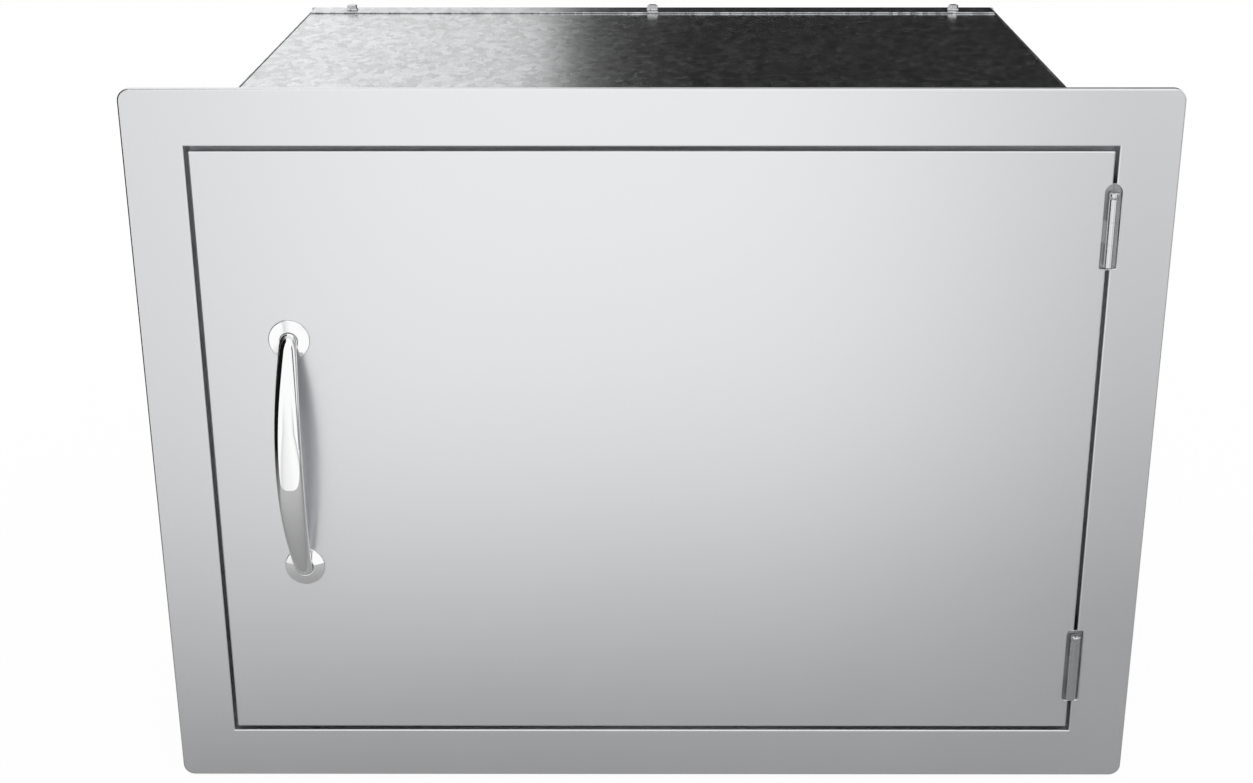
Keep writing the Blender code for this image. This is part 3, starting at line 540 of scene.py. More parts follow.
class Sketch:
    """Adds nodes to a tree and joins them."""

    def __init__(self, tree: bpy.types.NodeTree) -> None:
        """Work on a tree."""
        self.tree = tree

    def node(self, kind: str, values: dict | None = None, **settings: str) -> bpy.types.Node:
        """Add a node.

        Args:
            kind: the node's type.
            values: values or links for its inputs, by name or number; a list holds several links.
            settings: properties of the node, set first.

        Returns:
            The node.
        """
        made = self.tree.nodes.new(kind)
        for name, setting in settings.items():
            setattr(made, name, setting)
        for key, value in (values or {}).items():
            for plug in value if isinstance(value, list) else [value]:
                self.plug(made.inputs[key], plug)
        return made

    def plug(self, socket: Socket, plug: Plug) -> None:
        """Link or set an input.

        Args:
            socket: the input.
            plug: a value or socket that is linked to it, or else what it is set to.
        """
        source = plug.socket if isinstance(plug, Value) else plug
        if isinstance(source, Socket):
            self.tree.links.new(source, socket)
        else:
            socket.default_value = source

    def show(self, shader: bpy.types.Node) -> None:
        """Link a shader to the material's output."""
        self.plug(self.tree.nodes["Material Output"].inputs["Surface"], shader.outputs[0])

    def value(self, kind: str, values: dict | None = None, output: int | str = 0,
              **settings: str) -> Value:
        """Add a node, as the method above does, and wrap one of its outputs."""
        return Value(self, self.node(kind, values, **settings).outputs[output])

    def place(self) -> Socket:
        """Object coordinates, in metres."""
        return self.node("ShaderNodeTexCoord").outputs["Object"]

    def axes(self, vector: Socket) -> list[Value]:
        """The three parts of a vector, as values."""
        parts = self.node("ShaderNodeSeparateXYZ", {"Vector": vector})
        return [Value(self, part) for part in parts.outputs]

    def stretched(self, scale: Sequence[float]) -> Socket:
        """Object coordinates, scaled along each axis."""
        values = {"Vector": self.place(), "Scale": tuple(scale)}
        return self.node("ShaderNodeMapping", values).outputs["Vector"]

    def noise(self, where: Socket, scale: float, detail: float) -> Value:
        """Noise between about 0 and 1, with scale cells for each metre and detail octaves."""
        values = {"Vector": where, "Scale": scale, "Detail": detail}
        return self.value("ShaderNodeTexNoise", values)

    def mix(self, factor: Plug, first: Plug, second: Plug) -> Socket:
        """A blend of two colours.

        Args:
            factor: share of the second colour.
            first: the first colour.
            second: the second colour.

        Returns:
            The blended colour.
        """
        first, second = ((*plug, 1.0) if isinstance(plug, tuple) else plug for plug in (first, second))
        values = {MIX_FACTOR: factor, MIX_FIRST: first, MIX_SECOND: second}
        return self.node("ShaderNodeMix", values, data_type="RGBA").outputs[MIX_RESULT]

    def graded(self, value: Value, stops: Flat) -> Socket:
        """A grey that runs through a row of stops.

        Args:
            value: the value, between 0 and 1.
            stops: values and the shade at each, in rising order.

        Returns:
            The grey as a colour.
        """
        ramp = self.node("ShaderNodeValToRGB", {"Fac": value})
        elements = ramp.color_ramp.elements
        for index, (place, shade) in enumerate(stops):
            stop = elements[index] if index < len(elements) else elements.new(place)
            stop.position = place
            stop.color = (shade, shade, shade, 1.0)
        return ramp.outputs["Color"]

    def bump(self, height: Value, distance: float, strength: float = 1.0) -> Socket:
        """A normal from a height between 0 and 1, where 1 measures a distance in metres."""
        values = {"Height": height, "Distance": distance, "Strength": strength}
        return self.node("ShaderNodeBump", values).outputs["Normal"]


def bare_material(name: str) -> tuple[bpy.types.Material, Sketch]:
    """A material whose shader is still to be made.

    Args:
        name: name of the material.

    Returns:
        The material, and what adds nodes to it.
    """
    made = bpy.data.materials.new(name)
    made.use_nodes = True
    made.node_tree.nodes.remove(made.node_tree.nodes["Principled BSDF"])
    return made, Sketch(made.node_tree)


# Finishes


def scaled(colour: Colour, share: float) -> Colour:
    """A colour made darker or lighter by a share."""
    return tuple(channel * share for channel in colour)


@dataclass(frozen=True)
class Finish:
    """A finish on a Principled shader; each kind of finish adds its own detail."""

    name: str
    slot: Slot
    colour: Colour
    roughness: float
    metallic: float = 1.0
    anisotropy: float = 0.0
    turn: float = 0.0

    def material(self) -> bpy.types.Material:
        """The material, made once and then reused.

        Returns:
            The material.
        """
        known = bpy.data.materials.get(self.name)
        if known:
            return known
        made = bpy.data.materials.new(self.name)
        made.use_nodes = True
        sketch = Sketch(made.node_tree)
        shader = made.node_tree.nodes["Principled BSDF"]
        settings = {
            "Base Color": (*self.colour, 1.0), "Roughness": self.roughness, "Metallic": self.metallic,
            "Anisotropic": self.anisotropy, "Anisotropic Rotation": self.turn,
        }
        for name, plug in [*settings.items(), *self.detail(sketch).items()]:
            sketch.plug(shader.inputs[name], plug)
        return made

    def detail(self, sketch: Sketch) -> dict[str, Plug]:
        """What changes over the surface, by the name of the shader's socket."""
        return {}


@dataclass(frozen=True)
class SatinSteel(Finish):
    """Stainless sheet with a fine satin grain and faint unevenness from rolling."""

    grain: float = 0.06
    grain_scale: Sequence[float] = (60.0, 60.0, 2600.0)
    grain_depth: float = 0.000004
    relief: float = 0.5
    cloud: float = 0.03
    cloud_scale: float = 9.0
    darkest: float = 0.96

    def detail(self, sketch: Sketch) -> dict[str, Plug]:
        """Roughness that varies along the grain, and colour that varies a little over large areas.

        Args:
            sketch: adds the nodes.

        Returns:
            What feeds the shader.
        """
        grain = sketch.noise(sketch.stretched(self.grain_scale), 1.0, 3.0)
        cloud = sketch.noise(sketch.place(), self.cloud_scale, 3.0)
        shade = (grain * 0.5 + cloud * 0.5).clamped()
        return {
            "Roughness": self.roughness + grain.swing(self.grain) + cloud.swing(self.cloud),
            "Base Color": sketch.mix(shade, scaled(self.colour, self.darkest), self.colour),
            "Normal": sketch.bump(grain, self.grain_depth, self.relief),
        }


@dataclass(frozen=True)
class RecessSteel(SatinSteel):
    """Satin steel with painted shade that darkens it where it is pressed in behind the hinges, and rougher
    there.
    """

    cloud_scale: float = 300.0
    # The colour of the painted shade deep in the recess; the span below sets where it darkens and gets
    # rougher.
    painted_shade: Colour = (0.42, 0.422, 0.428)
    dull_rough: float = 0.1
    shade_and_rough_from: float = -0.0043
    shade_and_rough_to: float = -0.0038

    def detail(self, sketch: Sketch) -> dict[str, Plug]:
        """Painted shade that darkens the colour with the sheet's depth, more roughness there, and faint
        clouding.

        Args:
            sketch: adds the nodes.

        Returns:
            What feeds the shader.
        """
        _, depth, _ = sketch.axes(sketch.place())
        deep = depth.ramp(self.shade_and_rough_from, self.shade_and_rough_to, 0.0, 1.0)
        cloud = sketch.noise(sketch.place(), self.cloud_scale, 3.0)
        return {
            "Roughness": self.roughness + deep * self.dull_rough + cloud.swing(self.cloud),
            # Painted shade: the colour is darker deeper in the recess.
            "Base Color": sketch.mix(deep, self.colour, self.painted_shade),
            "Normal": sketch.bump(cloud, self.grain_depth, self.relief),
        }


@dataclass(frozen=True)
class PolishedChrome(Finish):
    """Mirror chrome with faint polishing haze."""

    haze: float = 0.015
    haze_scale: float = 60.0
    ripple_scale: float = 220.0
    ripple_depth: float = 0.000006
    relief: float = 0.3

    def detail(self, sketch: Sketch) -> dict[str, Plug]:
        """Roughness in soft patches, and a faint ripple in the reflection.

        Args:
            sketch: adds the nodes.

        Returns:
            What feeds the shader.
        """
        patches = sketch.noise(sketch.place(), self.haze_scale, 3.0)
        ripple = sketch.noise(sketch.place(), self.ripple_scale, 1.0)
        return {
            "Roughness": self.roughness + patches.swing(self.haze),
            "Normal": sketch.bump(ripple, self.ripple_depth, self.relief),
        }


@dataclass(frozen=True)
class BowChrome(PolishedChrome):
    """Mirror chrome with painted shade on the back of the bar, by the mesh's back layer."""

    painted_shade: Colour = (0.66, 0.662, 0.668)

    def detail(self, sketch: Sketch) -> dict[str, Plug]:
        """The chrome's own detail, and painted shade on the back of the bar."""
        back = sketch.value("ShaderNodeAttribute", output="Fac", attribute_name=BACK_SHADE_LAYER)
        # Painted shade: the back of the bar, which faces the door, is darker.
        return {**super().detail(sketch), "Base Color": sketch.mix(back, self.colour, self.painted_shade)}


@dataclass(frozen=True)
class Galvanised(Finish):
    """Zinc coated sheet with a fine mottled spangle."""

    spangle: float = 190.0
    contrast: float = 0.45
    gloss: float = 0.08
    tilt: float = 0.000015
    frost: float = 900.0
    draw: float = 0.5
    warp: float = 0.6
    patch: float = 26.0
    crystal_share: float = 0.45
    patch_share: float = 0.25
    frost_share: float = 0.9
    lump_share: float = 0.9

    def detail(self, sketch: Sketch) -> dict[str, Plug]:
        """Crystals of their own shade, gloss and slope, warped so that their edges aren't straight.

        Args:
            sketch: adds the nodes.

        Returns:
            What feeds the shader.
        """
        place = sketch.stretched((1.0, self.draw, 1.0))
        values = {"Vector": place, "Scale": self.spangle, "Detail": 2.0}
        swirl = sketch.node("ShaderNodeTexNoise", values).outputs["Color"]
        values = {0: swirl, "Scale": self.warp / self.spangle}
        offset = sketch.node("ShaderNodeVectorMath", values, operation="SCALE").outputs[0]
        bent = sketch.node("ShaderNodeVectorMath", {0: place, 1: offset}, operation="ADD").outputs[0]
        values = {"Vector": bent, "Scale": self.spangle}
        crystals = sketch.node("ShaderNodeTexVoronoi", values, feature="F1")
        parts = sketch.node("ShaderNodeSeparateColor", {"Color": crystals.outputs["Color"]})
        shade, slope, _ = (Value(sketch, part) for part in parts.outputs)
        patches = sketch.noise(place, self.patch, 4.0)
        frost = sketch.noise(place, self.frost, 3.0)
        lumps = sketch.noise(place, self.frost * self.lump_share, 2.0)
        mottle = 0.5 + shade.swing(self.crystal_share) + patches.swing(self.patch_share)
        mottle = (mottle + frost.swing(self.frost_share)).clamped()
        darkest = scaled(self.colour, 1.0 - self.contrast)
        lightest = scaled(self.colour, 1.0 + self.contrast)
        return {
            "Roughness": self.roughness + slope.swing(self.gloss) + frost.swing(self.gloss),
            "Base Color": sketch.mix(mottle, darkest, lightest),
            "Normal": sketch.bump(lumps, self.tilt),
        }


@dataclass(frozen=True)
class Plated(Finish):
    """Bright zinc plating, faintly clouded."""

    cloud: float = 0.10
    cloud_scale: float = 700.0
    depth: float = 0.00001
    relief: float = 0.4
    darkest: float = 0.9

    def detail(self, sketch: Sketch) -> dict[str, Plug]:
        """Gloss and shade that are clouded over a millimetre or two.

        Args:
            sketch: adds the nodes.

        Returns:
            What feeds the shader.
        """
        cloud = sketch.noise(sketch.place(), self.cloud_scale, 3.0)
        return {
            "Roughness": self.roughness + cloud.swing(self.cloud),
            "Base Color": sketch.mix(cloud.clamped(), scaled(self.colour, self.darkest), self.colour),
            "Normal": sketch.bump(cloud, self.depth, self.relief),
        }


@dataclass(frozen=True)
class Grained(Finish):
    """Rubber, plastic or ground magnet steel: a fine even grain with a little dust in it."""

    scale: float = 2200.0
    depth: float = 0.00003
    relief: float = 0.6
    gloss: float = 0.12
    dust: Colour = (0.2, 0.2, 0.2)
    dust_scale: float = 55.0
    dust_from: float = 0.45
    dust_to: float = 0.75
    dust_share: float = 0.08

    def detail(self, sketch: Sketch) -> dict[str, Plug]:
        """The grain's height and gloss, and the dust.

        Args:
            sketch: adds the nodes.

        Returns:
            What feeds the shader.
        """
        grain = sketch.noise(sketch.place(), self.scale, 3.0)
        cover = sketch.noise(sketch.place(), self.dust_scale, 4.0)
        cover = cover.ramp(self.dust_from, self.dust_to, 0.0, self.dust_share)
        return {
            "Roughness": self.roughness + grain.swing(self.gloss),
            "Base Color": sketch.mix(cover, self.colour, self.dust),
            "Normal": sketch.bump(grain, self.depth, self.relief),
        }


FACE_STEEL = SatinSteel("face_steel_finish", Slot.STEEL, (0.895, 0.902, 0.918), 0.33,
                        anisotropy=0.82, turn=0.25)
HINGE_STEEL = SatinSteel("hinge_steel_finish", Slot.STEEL, (0.76, 0.765, 0.78), 0.17,
                         grain_scale=(60.0, 60.0, 1200.0), grain=0.015)
RECESS_STEEL = RecessSteel("recess_steel_finish", Slot.STEEL, (0.83, 0.833, 0.84), 0.3)
CHROME = PolishedChrome("mirror_chrome_finish", Slot.CHROME, (0.97, 0.972, 0.975), 0.03)
BOW_CHROME = BowChrome("bow_chrome_finish", Slot.CHROME, CHROME.colour, CHROME.roughness)
ZINC_SHEET = Galvanised("spangled_zinc_finish", Slot.GALVANISED, (0.66, 0.67, 0.68), 0.17)
ZINC_PLATE = Plated("bright_zinc_finish", Slot.PLATED, (0.68, 0.69, 0.7), 0.26)
RUBBER = Grained("soft_rubber_finish", Slot.RUBBER, (0.035, 0.035, 0.037), 0.62, 0.0)
PLASTIC = Grained("moulded_plastic_finish", Slot.PLASTIC, (0.74, 0.735, 0.7), 0.48, 0.0,
                  scale=1500.0, dust=(0.5, 0.49, 0.45), dust_share=0.12)
MAGNET = Grained("ground_magnet_finish", Slot.MAGNET, (0.24, 0.24, 0.25), 0.38, 1.0, scale=900.0)


# Making pieces


@dataclass(frozen=True)
class Edge:
    """How a piece's sharp edges are broken."""

    width: float = 0.00012
    segments: int = 2
    angle: float = radians(34)


def shown(name: str, data: bpy.types.ID) -> bpy.types.Object:
    """A new object in the scene.

    Args:
        name: name of the object.
        data: its mesh, or its camera's data.

    Returns:
        The object, at the origin.
    """
    made = bpy.data.objects.new(name, data)
    bpy.context.scene.collection.objects.link(made)
    return made


def removed(spent: bpy.types.Object) -> None:
    """Remove a mesh, which takes the object that shows it along."""
    bpy.data.meshes.remove(spent.data)


def baked(rough: bpy.types.Object, name: str) -> bpy.types.Object:
    """A plain copy of an object with its modifiers applied; the object itself is removed.

    Args:
        rough: the object with its modifiers.
        name: name of the copy.

    Returns:
        The copy, at the origin.
    """
    graph = bpy.context.evaluated_depsgraph_get()
    mesh = bpy.data.meshes.new_from_object(rough.evaluated_get(graph), depsgraph=graph)
    removed(rough)
    mesh.name = name
    return shown(name, mesh)


def declared(piece: bpy.types.Object, finish: Finish, body: Body, nodes: Sequence[str]) -> bpy.types.Object:
    """Tell the frame what a piece stands for.

    Args:
        piece: the finished piece.
        finish: its finish; not used.
        body: the body that it rides on.
        nodes: the CAD nodes that it replaces.

    Returns:
        The same piece.
    """
    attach(piece, body.value)
    if nodes:
        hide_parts(*nodes)
    faces = len(piece.data.polygons)
    LOG.info("%s: %d faces, on %s, for %s", piece.name, faces, body.value, ", ".join(nodes))
    return piece


def piece(name: str, shell: Shell, finish: Finish, body: Body, nodes: Sequence[str],
          edge: Edge | None = Edge(), tools: Sequence[Shell] = ()) -> bpy.types.Object:
    """Make a finished piece from a mesh.

    Args:
        name: name of the piece.
        shell: its mesh, in place.
        finish: its finish.
        body: the body that it rides on.
        nodes: the CAD nodes that it replaces.
        edge: how its sharp edges are broken, or None.
        tools: shapes that are cut out of it.

    Returns:
        The piece.
    """
    mesh = meshed(name, shell, finish.material())
    mesh.shade_smooth()
    rough = shown(name + "_rough", mesh)
    cutters = [shown("cutting_tool", meshed("cutting_tool", tool)) for tool in tools]
    for cutter in cutters:
        boolean = rough.modifiers.new("cut", "BOOLEAN")
        boolean.operation = "DIFFERENCE"
        boolean.solver = "EXACT"
        boolean.object = cutter
    if edge:
        bevel = rough.modifiers.new("edge", "BEVEL")
        bevel.width = edge.width
        bevel.segments = edge.segments
        bevel.limit_method = "ANGLE"
        bevel.angle_limit = edge.angle
        bevel.harden_normals = False
    weighted = rough.modifiers.new("shading", "WEIGHTED_NORMAL")
    weighted.keep_sharp = True
    weighted.weight = LARGE_FACE_WEIGHT
    made = baked(rough, name)
    for cutter in cutters:
        removed(cutter)
    return declared(made, finish, body, nodes)


# The face frame


@dataclass
class FaceFrame:
    """The flange with its lip, the return round the opening and the door's stop."""

    envelope: Envelope
    corner: float = 0.008

    def build(self, pockets: Sequence["HingePlace"]) -> None:
        """Make the frame in one bent sheet, with a pocket for each hinge.

        Args:
            pockets: the hinges' places.
        """
        e = self.envelope
        half = e.face_sheet / 2
        corners = [
            (half, 0.0),
            (half, e.face_y + half),
            (e.end_border - half, e.face_y + half),
            (e.end_border - half, e.stop_front_y + half),
            (e.end_border + e.stop_width, e.stop_front_y + half),
        ]
        outline = folded(corners, e.face_bend, e.face_sheet)
        tray = Tray(e.flange_width / 2, e.flange_height / 2, self.corner,
                    side_extra=e.side_border - e.end_border)
        shell = tray.carried(outline, upright(e.centre_z), closed=True)
        tools = [place.pocket_tool(e) for place in pockets]
        piece("face_frame_sheet", shell, FACE_STEEL, Body.CABINET, ["face_frame"], tools=tools)


# The hinges


@dataclass(frozen=True)
class HingePlace:
    """Where a hinge stands, and the slot that is cut for its barrel."""

    word: str
    base: float
    length: float = 0.0522
    pocket_half: float = 0.00525
    pocket_foot: float = 0.0006
    pocket_head: float = 0.0042
    pocket_depth: float = 0.005
    foot_corner: float = 0.0012
    head_corner: float = 0.00525
    rim: float = 0.00105
    steps: int = 12

    def pocket_tool(self, envelope: Envelope) -> Shell:
        """The slot, as wide as the recess's rim, as a shape that cuts."""
        front_y, floor_y = envelope.face_y - CUT_OVERRUN, envelope.hinge_y + self.pocket_depth
        return extruded(self.outline(self.rim), self.lay(envelope), front_y, floor_y)

    def lay(self, envelope: Envelope, side: int = 1) -> Lay:
        """Puts an outline about the slot's middle in its place."""
        middle = self.base + (self.length + self.pocket_head - self.pocket_foot) / 2
        return upright(middle, side, x=envelope.hinge_x)

    def outline(self, more: float) -> Outline:
        """The slot's outline about its middle, made larger all round.

        Args:
            more: how far the outline moves outwards.

        Returns:
            The points, round the head and then round the foot.
        """
        half = (self.length + self.pocket_head + self.pocket_foot) / 2
        head = (self.head_corner, half - self.head_corner, 0.0)
        foot = (self.foot_corner, self.foot_corner - half, pi)
        loop: Outline = []
        for corner, height, start in (head, foot):
            side = (self.pocket_half - corner) * cos(start)
            for turn, across in ((0.0, side), (pi / 2, -side)):
                loop += arc((across, height), corner + more, start + turn, pi / 2, self.steps)
        return loop


@dataclass
class Hinges:
    """Two butt hinges, each of two curled leaves on a pin.

    A knuckle runs on into the first points of its leaf's tail, and the plate between them holds the rest.
    """

    envelope: Envelope
    inset: float = 0.0254
    sheet: float = 0.0014
    pin_radius: float = 0.0019
    pin_clearance: float = 0.0002
    cap_height: float = 0.0046
    cap_dome: float = 0.0011
    cap_groove: float = 0.0001
    lower_head: float = 0.0024
    foot_radius: float = 0.0029
    foot_height: float = 0.0012
    knuckles: int = 3
    knuckle_gap: float = 0.00005
    curl: float = radians(290)
    curl_steps: int = 44
    jog_start: float = 0.0005
    jog_length: float = 0.004
    jog_bend: float = 0.003
    jog_steps: int = 6
    knuckle_points: int = 2
    frame_tail_margin: float = 0.002
    door_tail_margin: float = 0.0009
    leaf_edge: float = 0.00004
    dome_steps: int = 9
    pin_sides: int = 48

    @property
    def places(self) -> list[HingePlace]:
        """Where the hinges stand.

        Returns:
            The upper place, and the lower one with its squarer slot.
        """
        e = self.envelope
        sample = HingePlace("sample", 0.0)
        upper = e.centre_z + e.opening_z - self.inset - sample.pocket_head - sample.length
        lower = e.centre_z - e.opening_z + self.inset + sample.pocket_foot
        squarer = HingePlace("lower", lower, pocket_head=self.lower_head, head_corner=sample.foot_corner)
        return [HingePlace("upper", upper), squarer]

    @property
    def bore(self) -> float:
        """Radius of the knuckles' bore."""
        return self.pin_radius + self.pin_clearance

    @property
    def barrel(self) -> float:
        """Radius over the knuckles."""
        return self.bore + self.sheet

    def knuckle_span(self, place: HingePlace, index: int) -> tuple[float, float]:
        """Lowest and highest point of a knuckle.

        Args:
            place: the hinge's place.
            index: number of the knuckle, counted from the bottom.

        Returns:
            Both heights.
        """
        gap = self.knuckle_gap
        leaf = place.length - self.cap_height - self.foot_height - 2 * gap
        height = (leaf - (self.knuckles - 1) * gap) / self.knuckles
        low = place.base + self.foot_height + gap + index * (height + gap)
        return low, low + height

    def leaf(self, place: HingePlace, side: int, tail_y: float, own: range) -> Shell:
        """A leaf: its own knuckles curled round the pin, and its tail behind the sheet.

        Args:
            place: the hinge's place.
            side: +1 for the frame's leaf, -1 for the door's.
            tail_y: depth at which the tail ends.
            own: numbers of the leaf's own knuckles, counted from the bottom.

        Returns:
            The leaf's mesh, in place.
        """
        e = self.envelope
        middle = self.bore + self.sheet / 2
        at = level((e.hinge_x, e.hinge_y, 0.0), side)
        curled = arc((0, 0), middle, -self.curl, self.curl, self.curl_steps)
        tail_x = e.side_gap / 2 + e.face_sheet + e.seat_gap + self.sheet / 2
        jog_end = self.jog_start + self.jog_length
        corners = [(middle, self.jog_start), (tail_x, jog_end), (tail_x, tail_y - e.hinge_y)]
        tail = bent_path(corners, self.jog_bend, self.jog_steps)
        knuckle = sheet_outline(curled + tail[:self.knuckle_points], self.sheet)
        plate = sheet_outline(tail[self.knuckle_points:], self.sheet)
        spans = [self.knuckle_span(place, index) for index in range(self.knuckles)]
        shells = [extruded(knuckle, at, *spans[index]) for index in own]
        shells.append(extruded(plate, at, spans[0][0], spans[-1][1]))
        return joined(shells)

    def pin(self, place: HingePlace) -> Shell:
        """The pin, with a domed cap above the barrel and a riveted foot below it.

        Args:
            place: the hinge's place.

        Returns:
            The pin's mesh, in place.
        """
        e = self.envelope
        rows = [pi / 2 * step / self.dome_steps for step in range(self.dome_steps)]
        foot, shoulder = self.foot_height, place.length - self.cap_height
        profile = [(self.foot_radius * cos(a), foot - foot * sin(a)) for a in reversed(rows)]
        profile += [(self.pin_radius, foot), (self.pin_radius, shoulder), (self.barrel, shoulder)]
        crown = place.length - self.cap_dome
        groove = self.barrel - self.cap_groove
        for radius, below in ((self.barrel, 4), (groove, 3), (groove, 2), (self.barrel, 1)):
            profile.append((radius, crown - below * self.cap_groove))
        profile += [(self.barrel * cos(a), crown + self.cap_dome * sin(a)) for a in rows]
        shell = turned(profile, self.pin_sides)
        return placed(shell, Matrix.Translation((e.hinge_x, e.hinge_y, place.base)))

    def build(self) -> None:
        """Make both hinges."""
        e = self.envelope
        frame_tail = e.stop_back_y - self.frame_tail_margin
        door_tail = e.door_back_y - e.liner_sheet - self.door_tail_margin
        leaves = (
            ("frame", Body.CABINET, 1, frame_tail, range(0, self.knuckles, 2)),
            ("door", Body.DOOR, -1, door_tail, range(1, self.knuckles, 2)),
        )
        for place in self.places:
            for word, body, side, tail_y, own in leaves:
                leaf = self.leaf(place, side, tail_y, own)
                node = f"hinge_{word}_leaf_{place.word}"
                piece(f"{node}_curled", leaf, HINGE_STEEL, body, [node], Edge(self.leaf_edge, 1))
            node = f"hinge_pin_{place.word}"
            piece(f"{node}_turned", self.pin(place), HINGE_STEEL, Body.CABINET, [node], edge=None)


# The door


@dataclass
class Door:
    """The outer skin folded back round its edges, and the liner nested in it."""

    envelope: Envelope
    corner: float = 0.0012
    liner_fold: float = 0.011

    def build(self, pockets: Sequence[HingePlace]) -> None:
        """Make the skin and the liner.

        Args:
            pockets: the hinges' places.
        """
        e = self.envelope
        half = e.face_sheet / 2
        inset = e.face_sheet + 2 * e.face_bend + self.corner
        corners = [(inset, e.face_y + half), (half, e.face_y + half), (half, e.door_back_y)]
        outline = folded(corners, e.face_bend, e.face_sheet)
        tray = Tray(e.door_x, e.door_z, self.corner)
        shell = tray.carried(outline, upright(e.centre_z))
        tools = [place.pocket_tool(e) for place in pockets]
        piece("door_skin", shell, FACE_STEEL, Body.DOOR, ["door_outer_panel"], tools=tools)

        half = e.liner_sheet / 2
        edge = e.face_sheet + e.seat_gap
        corners = [
            (edge + inset, e.door_back_y - half),
            (edge + half, e.door_back_y - half),
            (edge + half, e.door_back_y - self.liner_fold),
        ]
        outline = folded(corners, e.face_bend, e.liner_sheet)
        shell = tray.carried(outline, upright(e.centre_z))
        piece("door_liner", shell, FACE_STEEL, Body.DOOR, ["door_inner_panel"])


# The handle


@dataclass
class Handle:
    """The bow on its two rosettes. Its stand-off is that of the bar's middle line from the door."""

    envelope: Envelope
    edge_distance: float = 0.0575
    span: float = 0.168
    standoff: float = 0.0313
    foot_width: float = 0.0115
    end_thickness: float = 0.0105
    middle_width: float = 0.0182
    middle_thickness: float = 0.0079
    rosette_radius: float = 0.0139
    rosette_rim: float = 0.001
    rosette_dome: float = 0.0014
    rosette_crown: float = 0.04
    rosette_round: float = 0.0006
    rosette_edge: float = 0.0002
    squareness: float = 0.74
    elbow: float = 0.0045
    elbow_share: float = 0.95
    elbow_steps: int = 10
    full_lean: float = 0.8
    # How the painted shade on the bar's back grows with how far a point looks to the door.
    back_shade_gain: float = 3.0
    back_shade_start: float = 0.6
    rings: int = 96
    sides: int = 72
    rim_steps: int = 6
    dome_steps: int = 12
    rosette_sides: int = 96

    @property
    def x(self) -> float:
        """Place of the handle across the door."""
        return -self.envelope.door_x + self.edge_distance

    def feet(self) -> dict[str, float]:
        """Height of each foot."""
        middle, half = self.envelope.centre_z, self.span / 2
        return {"upper": middle + half, "lower": middle - half}

    def centre_line(self) -> list[tuple[Vector, float]]:
        """Points along the bow's middle line, as (height, stand-off), with a share of the bow.

        Returns:
            The points, each with 0 at the foot, 1 in the middle of the bow.
        """
        half = self.span / 2
        mitre = (pi / 2 - atan2(2 * self.standoff, half)) / 2
        post = self.rosette_rim + self.rosette_dome + self.envelope.seat_gap
        bend = post + self.foot_width / 2 * tan(mitre)
        rise = self.standoff - bend
        corners = [Vector((half, self.envelope.seat_gap)), Vector((half, bend))]
        for step in range(1, self.rings):
            share = 1 - 2 * step / self.rings
            corners.append(Vector((half * share, bend + rise * (1 - share**2))))
        corners += [Vector((-half, bend)), Vector((-half, self.envelope.seat_gap))]
        points = self.eased(corners)
        return [(point, max(0.0, 1 - (point.x / half) ** 2)) for point in points]

    def eased(self, corners: list[Vector]) -> list[Vector]:
        """The same line with its two elbows rounded.

        Args:
            corners: points of the line, elbows at the second point from either end.

        Returns:
            The rounded line.
        """
        near = [point for point in corners[2:-2] if (point - corners[1]).length > self.elbow
                and (point - corners[-2]).length > self.elbow]
        start = self.quarter(corners[0], corners[1], near[0])
        end = self.quarter(corners[-1], corners[-2], near[-1])
        return start + near + end[::-1]

    def quarter(self, foot: Vector, corner: Vector, after: Vector) -> list[Vector]:
        """A rounded elbow.

        Args:
            foot: where the line starts.
            corner: the elbow's corner.
            after: first point of the bow.

        Returns:
            The points from the foot up to the bow, whose first point is left out.
        """
        reach = min(self.elbow, (corner - foot).length * self.elbow_share)
        first = corner + (foot - corner).normalized() * reach
        points = [foot.copy()]
        for step in range(self.elbow_steps):
            t = step / self.elbow_steps
            points.append(first * (1 - t) ** 2 + corner * 2 * t * (1 - t) + after * t**2)
        return points

    def section(self, width: float, thickness: float, power: float) -> list[tuple[float, float]]:
        """Points round the bar: an oval, made squarer by a power below one.

        Args:
            width: width across the door.
            thickness: thickness out from the door.
            power: 1 for an ellipse, less for fuller corners.

        Returns:
            (across, proud) points.
        """
        points = []
        for side in range(self.sides):
            angle = 2 * pi * side / self.sides
            across = copysign(abs(cos(angle)) ** power, cos(angle)) * width / 2
            proud = copysign(abs(sin(angle)) ** power, sin(angle)) * thickness / 2
            points.append((across, proud))
        return points

    def bow(self) -> Shell:
        """The bar, lofted along its middle line from foot to foot.

        Returns:
            The bar's mesh, with a layer that says how far each point looks to the door; it sets the painted
            shade of the bar's back.
        """
        e = self.envelope
        line = self.centre_line()
        loops = []
        total = len(line)
        for index, (point, share) in enumerate(line):
            before = line[max(index - 1, 0)][0]
            after = line[min(index + 1, total - 1)][0]
            run = (after - before).normalized()
            if index in (0, total - 1):
                run = Vector((0, 1 if index == 0 else -1))
            lean = abs(run.x)
            width = self.foot_width + share * (self.middle_width - self.foot_width)
            thin = self.end_thickness + share * (self.middle_thickness - self.end_thickness)
            thick = self.foot_width + min(1.0, lean / self.full_lean) * (thin - self.foot_width)
            power = 1 - share * (1 - self.squareness)
            loop = []
            for across, proud in self.section(width, thick, power):
                height = point.x + proud * run.y
                off = point.y - proud * run.x
                loop.append(Vector((self.x + across, e.face_y - off, e.centre_z + height)))
            loops.append(loop)
        bar = loft(loops, closed=False)
        # The layer sets the painted shade on the back of the bar, which faces the door.
        back = bar.verts.layers.float.new(BACK_SHADE_LAYER)
        for index, vertex in enumerate(bar.verts):
            behind = -sin(2 * pi * (index % self.sides) / self.sides)
            vertex[back] = min(1.0, max(0.0, behind * self.back_shade_gain - self.back_shade_start))
        return bar

